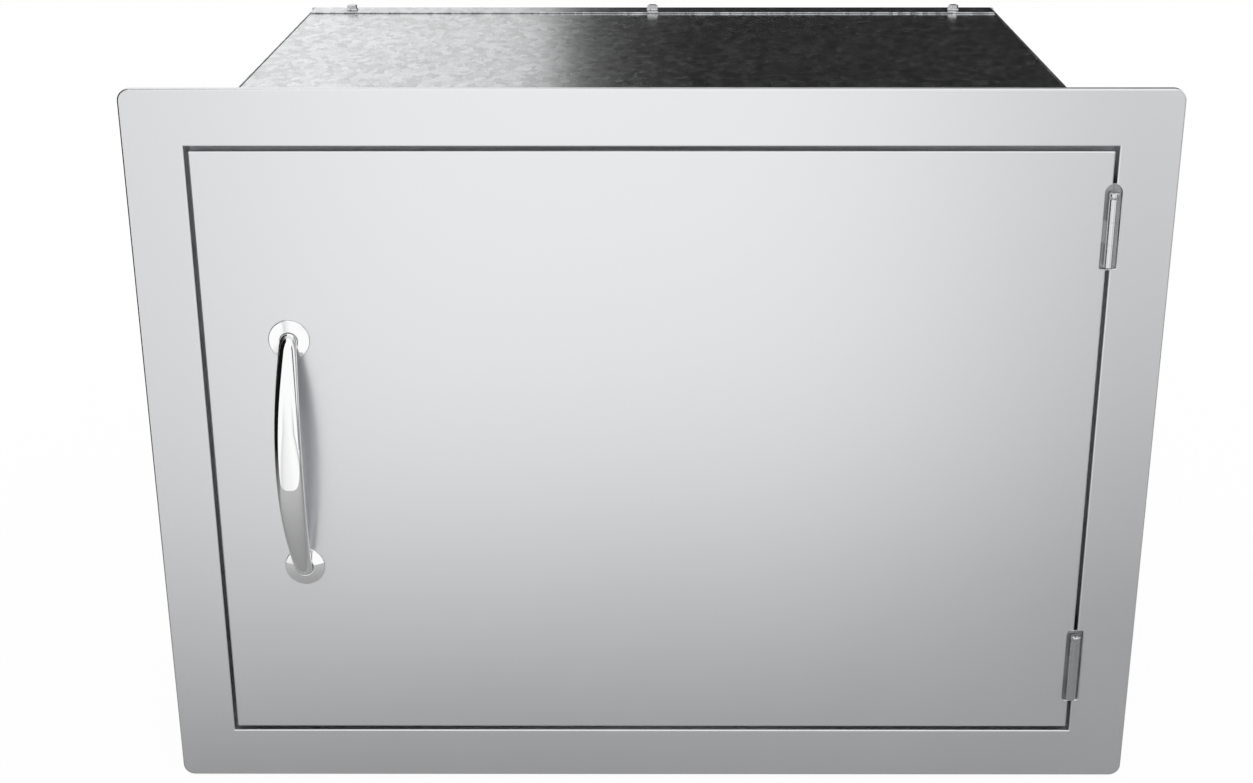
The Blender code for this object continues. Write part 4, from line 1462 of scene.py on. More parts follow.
    def rosette(self) -> Shell:
        """A domed washer round the foot, with a softly rounded rim.

        Returns:
            The rosette's mesh, lying flat.
        """
        radius, rim, edge = self.rosette_radius, self.rosette_rim, self.rosette_edge
        bore = self.foot_width / 2 + self.envelope.seat_gap
        flat = radius - self.rosette_round
        profile = [(bore, 0.0), (radius - edge, 0.0), (radius, edge)]
        for step in range(self.rim_steps + 1):
            angle = pi / 2 * step / self.rim_steps
            height = rim - self.rosette_round * (1 - sin(angle))
            profile.append((flat + self.rosette_round * cos(angle), height))
        for step in range(1, self.dome_steps + 1):
            share = step / self.dome_steps
            rise = share + self.rosette_crown * sin(share * pi)
            profile.append((flat + share * (bore + edge - flat), rim + self.rosette_dome * rise))
        profile.append((bore, rim + self.rosette_dome - edge))
        return turned(profile, self.rosette_sides, closed=True)

    def screw_seats(self) -> list["Seat"]:
        """Where the two screws sit that hold the bow from inside the door."""
        y, inwards = self.envelope.door_back_y + self.envelope.seat_gap, (0.0, 1.0, 0.0)
        return [Seat(f"handle_screw_{word}", (self.x, y, z), inwards) for word, z in self.feet().items()]

    def build(self) -> None:
        """Make the bow and both rosettes."""
        e = self.envelope
        piece("handle_bow", self.bow(), BOW_CHROME, Body.DOOR, ["handle_bar"], edge=None)
        for word, foot_z in self.feet().items():
            seat = Matrix.Translation((self.x, e.face_y - e.seat_gap, foot_z))
            rosette = placed(self.rosette(), seat @ Matrix.Rotation(pi / 2, 4, "X"))
            node = f"handle_rosette_{word}"
            piece(f"{node}_domed", rosette, CHROME, Body.DOOR, [node], edge=None)


# The box behind


@dataclass
class Box:
    """The galvanised top, bottom and sides, closed by the folded back panel."""

    envelope: Envelope
    bend_steps: int = 6
    panel_fold: float = 0.015
    side_flange: float = 0.0145
    back_fold: float = 0.0265
    back_corner: float = 0.0015
    back_edge: Edge = Edge(0.0004, 3)
    corner_relief: float = 0.003
    fixing_radius: float = 0.0028
    fixing_reach: float = 0.01
    fixing_backset: float = 0.05
    fixing_share: float = 0.66
    screw_inset: float = 0.013
    screw_share_across: float = 0.879
    screw_share_up: float = 0.56

    def sheet(self, corners: Flat) -> Outline:
        """The outline of one of the box's sheets, folded round a row of corners."""
        return folded(corners, self.envelope.body_bend, self.envelope.body_sheet, self.bend_steps)

    def top_and_bottom(self) -> None:
        """Two sheets with their sides folded inwards."""
        e = self.envelope
        half = e.body_sheet / 2
        fold_x = e.wall_x - e.body_sheet - e.seat_gap - half
        roof = e.roof_z - half
        fold_z = e.roof_z - self.panel_fold
        corners = [(-fold_x, fold_z), (-fold_x, roof), (fold_x, roof), (fold_x, fold_z)]
        outline = self.sheet(corners)
        for node, up in (("top_panel", 1), ("bottom_panel", -1)):
            shell = extruded(outline, upright(e.centre_z, up=up), e.box_front_y, e.panel_back_y)
            piece(f"{node}_sheet", shell, ZINC_SHEET, Body.CABINET, [node])

    def sides(self) -> None:
        """Two sheets with a flange at the front and holes for the fixing screws."""
        e = self.envelope
        half = e.body_sheet / 2
        flange_x = e.wall_x - self.side_flange
        web_x = e.wall_x - half
        front_y = e.box_front_y + half
        corners = [(web_x, e.panel_back_y), (web_x, front_y), (flange_x, front_y)]
        outline = self.sheet(corners)
        for side in Side:
            lay = level((0.0, 0.0, e.centre_z), side.value)
            shell = extruded(outline, lay, -e.roof_z, e.roof_z)
            tools = []
            for share in (-self.fixing_share, self.fixing_share):
                at = (side.value * web_x, self.fixing_backset, e.centre_z + share * e.roof_z)
                tools.append(round_hole(self.fixing_radius, self.fixing_reach, at, "Y"))
            tools += [self.flange_relief(side, up, flange_x) for up in (-1, 1)]
            node = f"{side.name.lower()}_side_panel"
            piece(f"{node}_sheet", shell, ZINC_SHEET, Body.CABINET, [node], tools=tools)

    def flange_relief(self, side: Side, up: int, flange_x: float) -> Shell:
        """What is cut from a side's flange, so that it clears the top or bottom sheet's fold.

        Args:
            side: the side.
            up: +1 at the top, -1 at the bottom.
            flange_x: where the flange ends.

        Returns:
            The shape that is cut from it.
        """
        e = self.envelope
        low = (flange_x - CUT_OVERRUN, e.roof_z - self.panel_fold - e.seat_gap)
        outline = rectangle(low, (e.wall_x - e.body_sheet, e.roof_z + CUT_OVERRUN))
        front_y, back_y = e.box_front_y - CUT_OVERRUN, e.box_front_y + e.body_sheet + e.body_bend
        return extruded(outline, upright(e.centre_z, side.value, up), front_y, back_y)

    def back(self) -> None:
        """The back sheet, its edge folded forward round the box, open at the corners."""
        e = self.envelope
        half = e.body_sheet / 2
        fold_y = e.box_back_y - self.back_fold
        inset = e.body_sheet + e.body_bend + self.corner_relief
        corners = [(inset, e.box_back_y - half), (half, e.box_back_y - half), (half, fold_y)]
        tray = Tray(e.back_x, e.back_z, self.back_corner)
        shell = tray.carried(self.sheet(corners), upright(e.centre_z))
        low = (e.back_x - self.corner_relief, e.back_z - self.corner_relief)
        notch = rectangle(low, (e.back_x + CUT_OVERRUN, e.back_z + CUT_OVERRUN))
        front_y, back_y = fold_y - CUT_OVERRUN, e.box_back_y - e.body_sheet - e.body_bend
        lays = [upright(e.centre_z, side, up) for side in (-1, 1) for up in (-1, 1)]
        tools = [extruded(notch, lay, front_y, back_y) for lay in lays]
        piece("back_panel_sheet", shell, ZINC_SHEET, Body.CABINET, ["back_panel"], self.back_edge, tools)

    def screw_seats(self) -> list["Seat"]:
        """Where the screws round the back panel sit.

        Returns:
            Three seats above the box, three below it and two at either side.
        """
        e = self.envelope
        y = e.box_back_y - self.screw_inset
        seats = []
        for across, word in ((-1, "left"), (0, "middle"), (1, "right")):
            for up, end in ((1, "top"), (-1, "bottom")):
                z = e.centre_z + up * (e.back_z + e.seat_gap)
                at = (across * self.screw_share_across * e.wall_x, y, z)
                seats.append(Seat(f"back_screw_{end}_{word}", at, (0.0, 0.0, up)))
        for up, word in ((-1, "lower"), (1, "upper")):
            for side in Side:
                x = side.value * (e.back_x + e.seat_gap)
                at = (x, y, e.centre_z + up * self.screw_share_up * e.roof_z)
                seats.append(Seat(f"back_screw_{side.name.lower()}_{word}", at, (side.value, 0.0, 0.0)))
        return seats

    def build(self) -> None:
        """Make the five sheets."""
        self.top_and_bottom()
        self.sides()
        self.back()


# Linings of the hinge slots


@dataclass
class SlotLinings:
    """The pressed recess that each hinge barrel stands in: one half on the frame, one on the door."""

    envelope: Envelope
    sheet: float = 0.00035
    floor_gap: float = 0.0002
    split: float = 0.0001
    steps: int = 10

    def dish(self, hinges: "Hinges", place: HingePlace) -> Shell:
        """A whole recess: a rim rolled in from the face, a wall and a floor behind the barrel.

        Args:
            hinges: the hinges.
            place: the hinge's place.

        Returns:
            The recess, in place.
        """
        e = self.envelope
        lay = place.lay(e)
        floor_y = e.hinge_y + hinges.barrel + self.floor_gap
        rim_back = e.face_y + e.face_sheet
        turn_y = e.face_y + place.rim
        profile = [(0.0, floor_y), (0.0, turn_y)]
        for step in range(1, self.steps + 1):
            angle = pi / 2 * (1 - step / self.steps)
            profile.append((place.rim * (1 - sin(angle)), turn_y - place.rim * cos(angle)))
        profile += [(place.rim, rim_back), (self.sheet, rim_back + self.sheet)]
        profile.append((self.sheet, floor_y + self.sheet))
        loops = [[lay(point.x, point.y, y) for point in place.outline(more)] for more, y in profile]
        return loft(loops, closed=False)

    def other_half(self, place: HingePlace, side: int) -> Shell:
        """What is cut from a whole recess to leave one half of it.

        Args:
            place: the hinge's place.
            side: +1 for the frame's half, -1 for the door's.

        Returns:
            The shape that is cut from it.
        """
        e = self.envelope
        reach = 2 * place.pocket_half
        outline = rectangle((-reach, -place.length), (self.split, place.length))
        return extruded(outline, place.lay(e, side), e.face_y - reach, e.face_y + reach)

    def build(self, hinges: "Hinges") -> None:
        """Line both slots.

        Args:
            hinges: the hinges that stand in them.
        """
        for place in hinges.places:
            for side, body in ((1, Body.CABINET), (-1, Body.DOOR)):
                name = f"hinge_recess_{place.word}_{body.value}"
                tools = [self.other_half(place, side)]
                piece(name, self.dish(hinges, place), RECESS_STEEL, body, [], edge=None, tools=tools)


# The gasket


@dataclass
class Gasket:
    """A soft strip with a rounded front and two fine ribs, in one ring on the stop."""

    envelope: Envelope
    width: float = 0.009
    heel: float = 0.001
    rib: float = 0.00025
    waves: int = 6
    corner: float = 0.0003
    steps: int = 28

    def build(self) -> None:
        """Make the strip."""
        e = self.envelope
        inset = (e.stop_width - self.width) / 2
        heel_y = e.stop_front_y - e.seat_gap
        rise = e.gasket_thickness - self.heel
        outline = [Vector((inset + self.width, heel_y)), Vector((inset, heel_y))]
        for step in range(self.steps + 1):
            angle = pi * step / self.steps
            dip = self.rib * (1 - cos(self.waves * angle)) / 2 * sin(angle)
            across = inset + self.width / 2 * (1 - cos(angle))
            outline.append(Vector((across, heel_y - self.heel - (rise - dip) * sin(angle))))
        tray = Tray(e.opening_x, e.opening_z, self.corner)
        shell = tray.carried(outline, upright(e.centre_z), closed=True)
        piece("door_gasket_strip", shell, RUBBER, Body.CABINET, ["door_gasket"], edge=None)


# The shelf


@dataclass
class Shelf:
    """The folded shelf on its two angle rails."""

    envelope: Envelope
    share: float = 0.5
    fold: float = 0.02
    setback: float = 0.03
    back_gap: float = 0.02
    corner: float = 0.002
    side_gap: float = 0.0005
    rail_width: float = 0.016
    rail_height: float = 0.014

    def build(self) -> None:
        """Make the shelf and its rails."""
        e = self.envelope
        half = e.body_sheet / 2
        front_y, back_y = e.stop_back_y + self.setback, e.panel_back_y - self.back_gap
        rail_x = e.wall_x - e.body_sheet - e.seat_gap - half
        roof = e.roof_z - e.body_sheet
        top_z = e.centre_z - roof + 2 * self.share * roof + self.fold / 2
        inset = e.body_sheet + e.body_bend + self.corner
        outline = folded([(inset, half), (half, half), (half, self.fold)], e.body_bend, e.body_sheet)
        lay = Lay((0.0, (front_y + back_y) / 2, top_z), (1.0, 0.0, 0.0), (0.0, 1.0, 0.0), (0.0, 0.0, -1.0))
        tray = Tray(rail_x - half - self.side_gap, (back_y - front_y) / 2, self.corner)
        shell = tray.carried(outline, lay)
        piece("shelf_sheet", shell, ZINC_SHEET, Body.CABINET, ["shelf"])
        heel_z = top_z - self.fold - e.seat_gap - half
        corners = [(rail_x, self.rail_height), (rail_x, 0.0), (rail_x - self.rail_width, 0.0)]
        outline = folded(corners, e.body_bend, e.body_sheet)
        for side in Side:
            shell = extruded(outline, upright(heel_z, side.value), front_y, back_y)
            node = f"shelf_rail_{side.name.lower()}"
            piece(f"{node}_angle", shell, ZINC_SHEET, Body.CABINET, [node])


# The magnetic catches

CATCH_SHARES = {"upper": 0.56, "lower": -0.56}


@dataclass
class Catch:
    """A housing behind the stop with its magnet, and the strike on the door."""

    envelope: Envelope
    word: str
    share: float
    ends: tuple[tuple[str, float], ...] = (("top", 0.62), ("bottom", -0.62))
    length: float = 0.046
    width: float = 0.014
    depth: float = 0.012
    side_gap: float = 0.0005
    ear_reach: float = 0.011
    ear_sheet: float = 0.0025
    housing_edge: Edge = Edge(0.0004, 3, radians(40))
    screw_bore: float = 0.0018
    magnet_length: float = 0.033
    magnet_width: float = 0.0084
    magnet_depth: float = 0.0058
    magnet_proud: float = 0.0004
    pole_sheet: float = 0.0012
    core_sink: float = 0.0003
    magnet_edge: Edge = Edge(0.0002, 2)
    strike_length: float = 0.04
    strike_width: float = 0.013
    strike_sheet: float = 0.0012
    strike_corner: float = 0.002
    strike_steps: int = 10
    strike_shank: float = 0.0017
    strike_head: float = 0.0029
    strike_reach: float = 0.008

    @property
    def z(self) -> float:
        """Height of the catch, from its share of the door's half height."""
        return self.envelope.centre_z + self.share * self.envelope.door_z

    @property
    def stop_x(self) -> float:
        """Place of the stop's inner edge across the cabinet."""
        return self.envelope.stop_width - self.envelope.opening_x

    @property
    def outer_x(self) -> float:
        """Place of the housing's outer side across the cabinet."""
        return self.stop_x + self.side_gap

    @property
    def middle_x(self) -> float:
        """Place of the housing's middle across the cabinet."""
        return self.outer_x + self.width / 2

    @property
    def screw_x(self) -> float:
        """Place of the housing's screws across the cabinet."""
        return self.stop_x - self.ear_reach / 2

    @property
    def strike_back_y(self) -> float:
        """Depth of the strike's back face."""
        return self.envelope.door_back_y + self.envelope.seat_gap + self.strike_sheet

    @property
    def front_y(self) -> float:
        """Depth of the housing's front face."""
        return self.strike_back_y + self.envelope.seat_gap + self.magnet_proud

    @property
    def ear_back_y(self) -> float:
        """Depth of the housing's ear, at its back."""
        e = self.envelope
        return e.box_front_y + e.body_sheet + e.seat_gap + self.ear_sheet

    def heights(self, length: float) -> dict[str, float]:
        """Heights of the two screws that hold a piece of a given length, by the piece's end."""
        return {end: self.z + share * length / 2 for end, share in self.ends}

    def housing(self) -> None:
        """Make the housing with its magnet's pocket, two bored ears and softened edges."""
        z, gap = self.z, self.envelope.seat_gap
        ear_x, outer_x, inner_x = self.stop_x - self.ear_reach, self.outer_x, self.outer_x + self.width
        ear_back, ear_front = self.ear_back_y, self.ear_back_y - self.ear_sheet
        front_y, back_y = self.front_y, self.front_y + self.depth
        outline = [Vector(point) for point in (
            (ear_x, ear_front), (outer_x, ear_front), (outer_x, front_y), (inner_x, front_y),
            (inner_x, back_y), (outer_x, back_y), (outer_x, ear_back), (ear_x, ear_back),
        )]
        shell = extruded(outline, level((0.0, 0.0, z)), -self.length / 2, self.length / 2)
        half_x, half_z = self.magnet_width / 2 + gap, self.magnet_length / 2 + gap
        floor_y = front_y - self.magnet_proud + self.magnet_depth + gap
        pocket = rectangle((self.middle_x - half_x, -half_z), (self.middle_x + half_x, half_z))
        tools = [extruded(pocket, upright(z), front_y - self.depth, floor_y)]
        for height in self.heights(self.length).values():
            tools.append(round_hole(self.screw_bore, self.depth, (self.screw_x, ear_front, height), "X"))
        node = f"catch_housing_{self.word}"
        piece(f"catch_body_{self.word}", shell, PLASTIC, Body.CABINET, [node], self.housing_edge, tools)

    def magnet(self) -> None:
        """Make the magnet: a dark core, sunk a little between two steel pole plates."""
        front_y = self.front_y - self.magnet_proud
        half_x, half_z = self.magnet_width / 2, self.magnet_length / 2
        core_x = half_x - self.pole_sheet
        layers = ((-half_x, -core_x, 0.0), (core_x, half_x, 0.0), (-core_x, core_x, self.core_sink))
        shells = []
        for low_x, high_x, sink in layers:
            outline = rectangle((self.middle_x + low_x, -half_z), (self.middle_x + high_x, half_z))
            shells.append(extruded(outline, upright(self.z), front_y + sink, front_y + self.magnet_depth))
        node = f"catch_magnet_{self.word}"
        piece(f"{node}_layers", joined(shells), MAGNET, Body.CABINET, [node], self.magnet_edge)

    def strike(self) -> None:
        """Make the strike plate with two countersunk holes."""
        size = (self.strike_width / 2, self.strike_length / 2, self.strike_corner, self.strike_steps)
        lay = upright(self.z, x=self.middle_x)
        back_y = self.strike_back_y
        shell = extruded(rounded_rectangle(*size), lay, back_y - self.strike_sheet, back_y)
        tools = [self.countersink(z) for z in self.heights(self.strike_length).values()]
        node = f"strike_plate_{self.word}"
        piece(f"{node}_sheet", shell, ZINC_PLATE, Body.DOOR, [node], tools=tools)

    def countersink(self, z: float) -> Shell:
        """The hole for a flat-headed screw.

        Args:
            z: height of the screw.

        Returns:
            The hole, as a shape that cuts.
        """
        gap, shank = self.envelope.seat_gap, self.strike_shank
        profile = [(shank, -self.strike_reach), (shank, -self.strike_sheet - gap), (self.strike_head, gap)]
        at = Matrix.Translation((self.middle_x, self.strike_back_y, z))
        return placed(turned(profile, BORE_SIDES), at @ Matrix.Rotation(-pi / 2, 4, "X"))

    def seats(self, kind: str, at: Sequence[float], length: float) -> list["Seat"]:
        """Both seats of a kind of screw, at a place (across, depth), in a piece of a given length."""
        return [Seat(f"{kind}_screw_{self.word}_{end}", (*at, z), (0.0, 1.0, 0.0))
                for end, z in self.heights(length).items()]

    def housing_seats(self) -> list["Seat"]:
        """Where the housing's screws sit."""
        at = (self.screw_x, self.ear_back_y + self.envelope.seat_gap)
        return self.seats("catch", at, self.length)

    def strike_seats(self) -> list["Seat"]:
        """Where the strike's screws sit."""
        return self.seats("strike", (self.middle_x, self.strike_back_y), self.strike_length)

    def build(self) -> None:
        """Make the housing, the magnet and the strike."""
        self.housing()
        self.magnet()
        self.strike()


# Screws, set by Geometry Nodes

SCREW_SIZES = ("Shank Radius", "Length", "Tip", "Head Radius", "Head Height", "Edge",
               "Washer Radius", "Washer Height", "Pitch", "Recess Width")


class Head(Enum):
    """Kinds of screw head."""

    HEX_WASHER = "hex_washer"
    PAN = "pan"
    FLAT = "flat"


@dataclass(frozen=True)
class Seat:
    """Where a screw sits: its CAD node, the middle of its seat and where its head points."""

    node: str
    at: Point
    facing: Point


class ScrewSketch(Sketch):
    """Draws a screw in a Geometry Nodes tree, its axis along Z and its seat at the origin."""

    shank_sides: int = 20
    head_sides: int = 40
    thread_steps: int = 14
    dome_rows: int = 10
    core_share: float = 0.82
    point_share: float = 0.25
    thread_run_share: float = 0.94
    thread_radius_share: float = 0.84
    thread_size_share: float = 0.16
    washer_slope: float = 0.6
    chamfer_slope: float = 1.5
    dome_sweep: float = pi / 2 * 0.86
    recess_length_share: float = 1.05
    recess_depth_share: float = 0.9

    def __init__(self, tree: bpy.types.NodeTree) -> None:
        """Wrap the inputs of a tree, and those that are sizes as values.

        Args:
            tree: the tree, with its inputs.
        """
        super().__init__(tree)
        self.given = self.node("NodeGroupInput").outputs
        self.size = {name: Value(self, self.given[name]) for name in SCREW_SIZES}

    def cylinder(self, sides: int, radius: Value, depth: Value, rows: int = 1) -> Socket:
        """A cylinder with its middle at the seat."""
        values = {"Vertices": sides, "Side Segments": rows, "Radius": radius, "Depth": depth}
        return self.node("GeometryNodeMeshCylinder", values).outputs["Mesh"]

    def cone(self, sides: int, top: Value, bottom: Value, depth: Value) -> Socket:
        """A cone without its point, standing on the seat."""
        values = {"Vertices": sides, "Radius Top": top, "Radius Bottom": bottom, "Depth": depth}
        return self.node("GeometryNodeMeshCone", values).outputs["Mesh"]

    def lifted(self, shape: Socket, height: Plug) -> Socket:
        """A shape, moved along the screw's axis by a height, towards the head."""
        offset = self.node("ShaderNodeCombineXYZ", {"Z": height}).outputs[0]
        return self.node("GeometryNodeTransform", {"Geometry": shape, "Translation": offset}).outputs[0]

    def together(self, shapes: list[Socket]) -> Socket:
        """Several shapes in one."""
        return self.node("GeometryNodeJoinGeometry", {0: shapes}).outputs[0]

    def shank(self) -> Socket:
        """The plain core of the shank with its tapered tip.

        Returns:
            Both in one shape.
        """
        size = self.size
        run = size["Length"] - size["Tip"]
        core = size["Shank Radius"] * self.core_share
        rod = self.lifted(self.cylinder(self.shank_sides, core, run), run * -0.5)
        point = self.cone(self.shank_sides, core, core * self.point_share, size["Tip"])
        return self.together([rod, self.lifted(point, size["Length"] * -1.0)])

    def thread(self) -> Socket:
        """The thread: a small triangle swept along a helix round the core.

        Returns:
            The swept thread.
        """
        size = self.size
        run = size["Length"] - size["Tip"]
        rise = run * self.thread_run_share
        radius = size["Shank Radius"] * self.thread_radius_share
        helix = self.node("GeometryNodeCurveSpiral", {
            "Resolution": self.thread_steps, "Rotations": rise / size["Pitch"],
            "Start Radius": radius, "End Radius": radius, "Height": rise,
        })
        section = self.node("GeometryNodeCurvePrimitiveCircle", {
            "Resolution": 3, "Radius": size["Shank Radius"] * self.thread_size_share,
        }, mode="RADIUS")
        swept = self.node("GeometryNodeCurveToMesh", {
            "Curve": helix.outputs[0], "Profile Curve": section.outputs[0], "Fill Caps": True,
        })
        return self.lifted(swept.outputs[0], run * -1.0)

    def hex_head(self) -> list[Socket]:
        """A hexagon with a chamfered top on a washer with a sloping rim.

        Returns:
            The washer, the hexagon and its chamfer.
        """
        size = self.size
        wide, high, edge = size["Head Radius"], size["Washer Height"], size["Edge"]
        rim = size["Washer Radius"] - high * self.washer_slope
        washer = self.cone(self.head_sides, rim, size["Washer Radius"], high)
        tall = size["Head Height"] - edge
        prism = self.lifted(self.cylinder(6, wide, tall), high + tall * 0.5)
        chamfer = self.cone(6, wide - edge * self.chamfer_slope, wide, edge)
        return [washer, prism, self.lifted(chamfer, high + tall)]

    def domed(self) -> Socket:
        """A cylinder whose side is drawn in to a dome.

        Returns:
            The dome, standing on the seat.
        """
        tall = self.size["Head Height"]
        rod = self.cylinder(self.head_sides, self.size["Head Radius"], tall, self.dome_rows)
        rod = self.lifted(rod, tall * 0.5)
        x, y, z = self.axes(self.node("GeometryNodeInputPosition").outputs[0])
        angle = z / tall * self.dome_sweep
        narrow = angle.maths("COSINE")
        values = {"X": x * narrow, "Y": y * narrow, "Z": angle.maths("SINE") * tall}
        bent = self.node("ShaderNodeCombineXYZ", values)
        values = {"Geometry": rod, "Position": bent.outputs[0]}
        return self.node("GeometryNodeSetPosition", values).outputs[0]

    def flat(self) -> Socket:
        """A countersunk head, level with the plate that it is sunk in.

        Returns:
            The head, hanging below the seat.
        """
        tall = self.size["Head Height"]
        size = (self.size["Head Radius"], self.size["Shank Radius"], tall)
        return self.lifted(self.cone(self.head_sides, *size), tall * -1.0)

    def recessed(self, head: Socket, top: Plug) -> Socket:
        """A head with a cross recess cut into it.

        Args:
            head: the head without its recess.
            top: height of the head's top above its seat.

        Returns:
            The head with its recess.
        """
        size = self.size
        wide = size["Recess Width"]
        long = size["Head Radius"] * self.recess_length_share
        deep = size["Head Height"] * self.recess_depth_share
        bars = []
        for first, second in ((long, wide), (wide, long)):
            extent = self.node("ShaderNodeCombineXYZ", {"X": first, "Y": second, "Z": deep})
            bar = self.node("GeometryNodeMeshCube", {"Size": extent.outputs[0]})
            bars.append(self.lifted(bar.outputs["Mesh"], top))
        values = {0: head, 1: self.together(bars)}
        return self.node("GeometryNodeMeshBoolean", values, operation="DIFFERENCE").outputs[0]

    def seated(self, screw: Socket) -> None:
        """Set a copy of the screw at each seat, turned to its facing and spun at random.

        Args:
            screw: the whole screw.
        """
        given = self.given
        values = {"Name": FACING_LAYER}
        facing = self.node("GeometryNodeInputNamedAttribute", values, data_type="FLOAT_VECTOR")
        aimed = self.node("FunctionNodeAlignRotationToVector", {"Vector": facing.outputs[0]}, axis="Z")
        values = {2: 0.0, 3: 2 * pi, "Seed": given["Seed"]}
        spin = self.node("FunctionNodeRandomValue", values, data_type="FLOAT")
        turn = self.node("FunctionNodeAxisAngleToRotation", {"Angle": spin.outputs[1]})
        values = {0: aimed.outputs[0], 1: turn.outputs[0]}
        both = self.node("FunctionNodeRotateRotation", values, rotation_space="LOCAL")
        points = self.node("GeometryNodeMeshToPoints", {"Mesh": given["Geometry"]})
        values = {"Points": points.outputs[0], "Instance": screw, "Rotation": both.outputs[0]}
        copies = self.node("GeometryNodeInstanceOnPoints", values)
        real = self.node("GeometryNodeRealizeInstances", {0: copies.outputs[0]})
        values = {"Geometry": real.outputs[0], "Material": given["Finish"]}
        dressed = self.node("GeometryNodeSetMaterial", values)
        self.node("NodeGroupOutput", {0: dressed.outputs[0]})


@dataclass(frozen=True)
class Screws:
    """One kind of screw: a tree makes it from its sizes and sets a copy at each seat."""

    name: str
    head: Head
    body: Body
    shank_radius: float
    length: float
    tip: float
    head_radius: float
    head_height: float
    edge: float = 0.0003
    washer_radius: float = 0.0
    washer_height: float = 0.0
    pitch: float = 0.0013
    recess_width: float = 0.0009
    seed: int = 3
    sharp_angle: float = radians(32)

    def sizes(self) -> dict[str, float]:
        """The tree's sizes by name, each from the field of that name."""
        return {name: getattr(self, name.lower().replace(" ", "_")) for name in SCREW_SIZES}

    def tree(self) -> bpy.types.NodeTree:
        """The Geometry Nodes tree of the screw.

        Returns:
            The tree, with an input for each size, the seed and the finish.
        """
        tree = bpy.data.node_groups.new(self.name, "GeometryNodeTree")
        kinds = {
            "Geometry": "NodeSocketGeometry", **dict.fromkeys(SCREW_SIZES, "NodeSocketFloat"),
            "Seed": "NodeSocketInt", "Finish": "NodeSocketMaterial",
        }
        for name, kind in kinds.items():
            tree.interface.new_socket(name, in_out="INPUT", socket_type=kind)
        tree.interface.new_socket("Geometry", in_out="OUTPUT", socket_type="NodeSocketGeometry")
        sketch = ScrewSketch(tree)
        parts = [sketch.shank(), sketch.thread()]
        if self.head is Head.HEX_WASHER:
            parts += sketch.hex_head()
        elif self.head is Head.PAN:
            parts.append(sketch.recessed(sketch.domed(), sketch.size["Head Height"]))
        else:
            parts.append(sketch.recessed(sketch.flat(), 0.0))
        sketch.seated(sketch.together(parts))
        return tree

    def build(self, seats: Sequence[Seat], finish: Finish) -> None:
        """Set a screw at each seat, in one mesh that stands for all their nodes.

        Args:
            seats: where the screws sit.
            finish: their finish.
        """
        mesh = bpy.data.meshes.new(self.name)
        mesh.from_pydata([seat.at for seat in seats], [], [])
        facing = mesh.attributes.new(FACING_LAYER, "FLOAT_VECTOR", "POINT")
        for index, seat in enumerate(seats):
            facing.data[index].vector = seat.facing
        rough = shown(self.name + "_rough", mesh)
        tree = self.tree()
        modifier = rough.modifiers.new("screws", "NODES")
        modifier.node_group = tree
        values = {**self.sizes(), "Seed": self.seed, "Finish": finish.material()}
        for item in tree.interface.items_tree:
            if item.in_out == "INPUT" and item.name in values:
                modifier[item.identifier] = values[item.name]
        made = baked(rough, self.name)
        made.data.shade_smooth()
        made.data.set_sharp_from_angle(angle=self.sharp_angle)
        declared(made, finish, self.body, [seat.node for seat in seats])


BACK_SCREWS = Screws(
    "back_screws", Head.HEX_WASHER, Body.CABINET, shank_radius=0.0024, length=0.0127, tip=0.003,
    head_radius=0.00456, head_height=0.003, edge=0.0004, washer_radius=0.0052, washer_height=0.001)
CATCH_SCREWS = Screws(
    "catch_screws", Head.PAN, Body.CABINET, shank_radius=0.0015, length=0.0046, tip=0.001,
    head_radius=0.0029, head_height=0.0019, pitch=0.0009)
STRIKE_SCREWS = Screws(
    "strike_screws", Head.FLAT, Body.DOOR, shank_radius=0.0014, length=0.006, tip=0.0015,
    head_radius=0.0026, head_height=0.0012, pitch=0.0009, recess_width=0.0008)
HANDLE_SCREWS = Screws(
    "handle_screws", Head.PAN, Body.DOOR, shank_radius=0.002, length=0.0223, tip=0.001,
    head_radius=0.0042, head_height=0.0024, pitch=0.001, recess_width=0.0012)


# The studio


@dataclass(frozen=True)
class Card:
    """A studio card that only mirrors see: its middle, its two half edges and its shades.

    Each stop is a share of the way along the second edge, and the shade there.
    """

    name: str
    middle: Point
    across: Point
    up: Point
    stops: Flat

    def build(self) -> None:
        """Make the card; its shade changes along its second edge."""
        middle, across, up = map(Vector, (self.middle, self.across, self.up))
        shell = bmesh.new()
        corners = [middle - across - up, middle + across - up, middle + across + up, middle - across + up]
        face = shell.faces.new([shell.verts.new(corner) for corner in corners])
        layer = shell.loops.layers.uv.new("card")
        for loop, place in zip(face.loops, ((0, 0), (1, 0), (1, 1), (0, 1))):
            loop[layer].uv = place
        material, sketch = bare_material(self.name)
        uv = sketch.node("ShaderNodeUVMap", uv_map="card").outputs["UV"]
        _, along, _ = sketch.axes(uv)
        sketch.show(sketch.node("ShaderNodeEmission", {"Color": sketch.graded(along, self.stops)}))
        card = shown(self.name, meshed(self.name, shell, material))
        for ray in ("camera", "diffuse", "shadow", "transmission", "volume_scatter"):
            setattr(card, f"visible_{ray}", False)


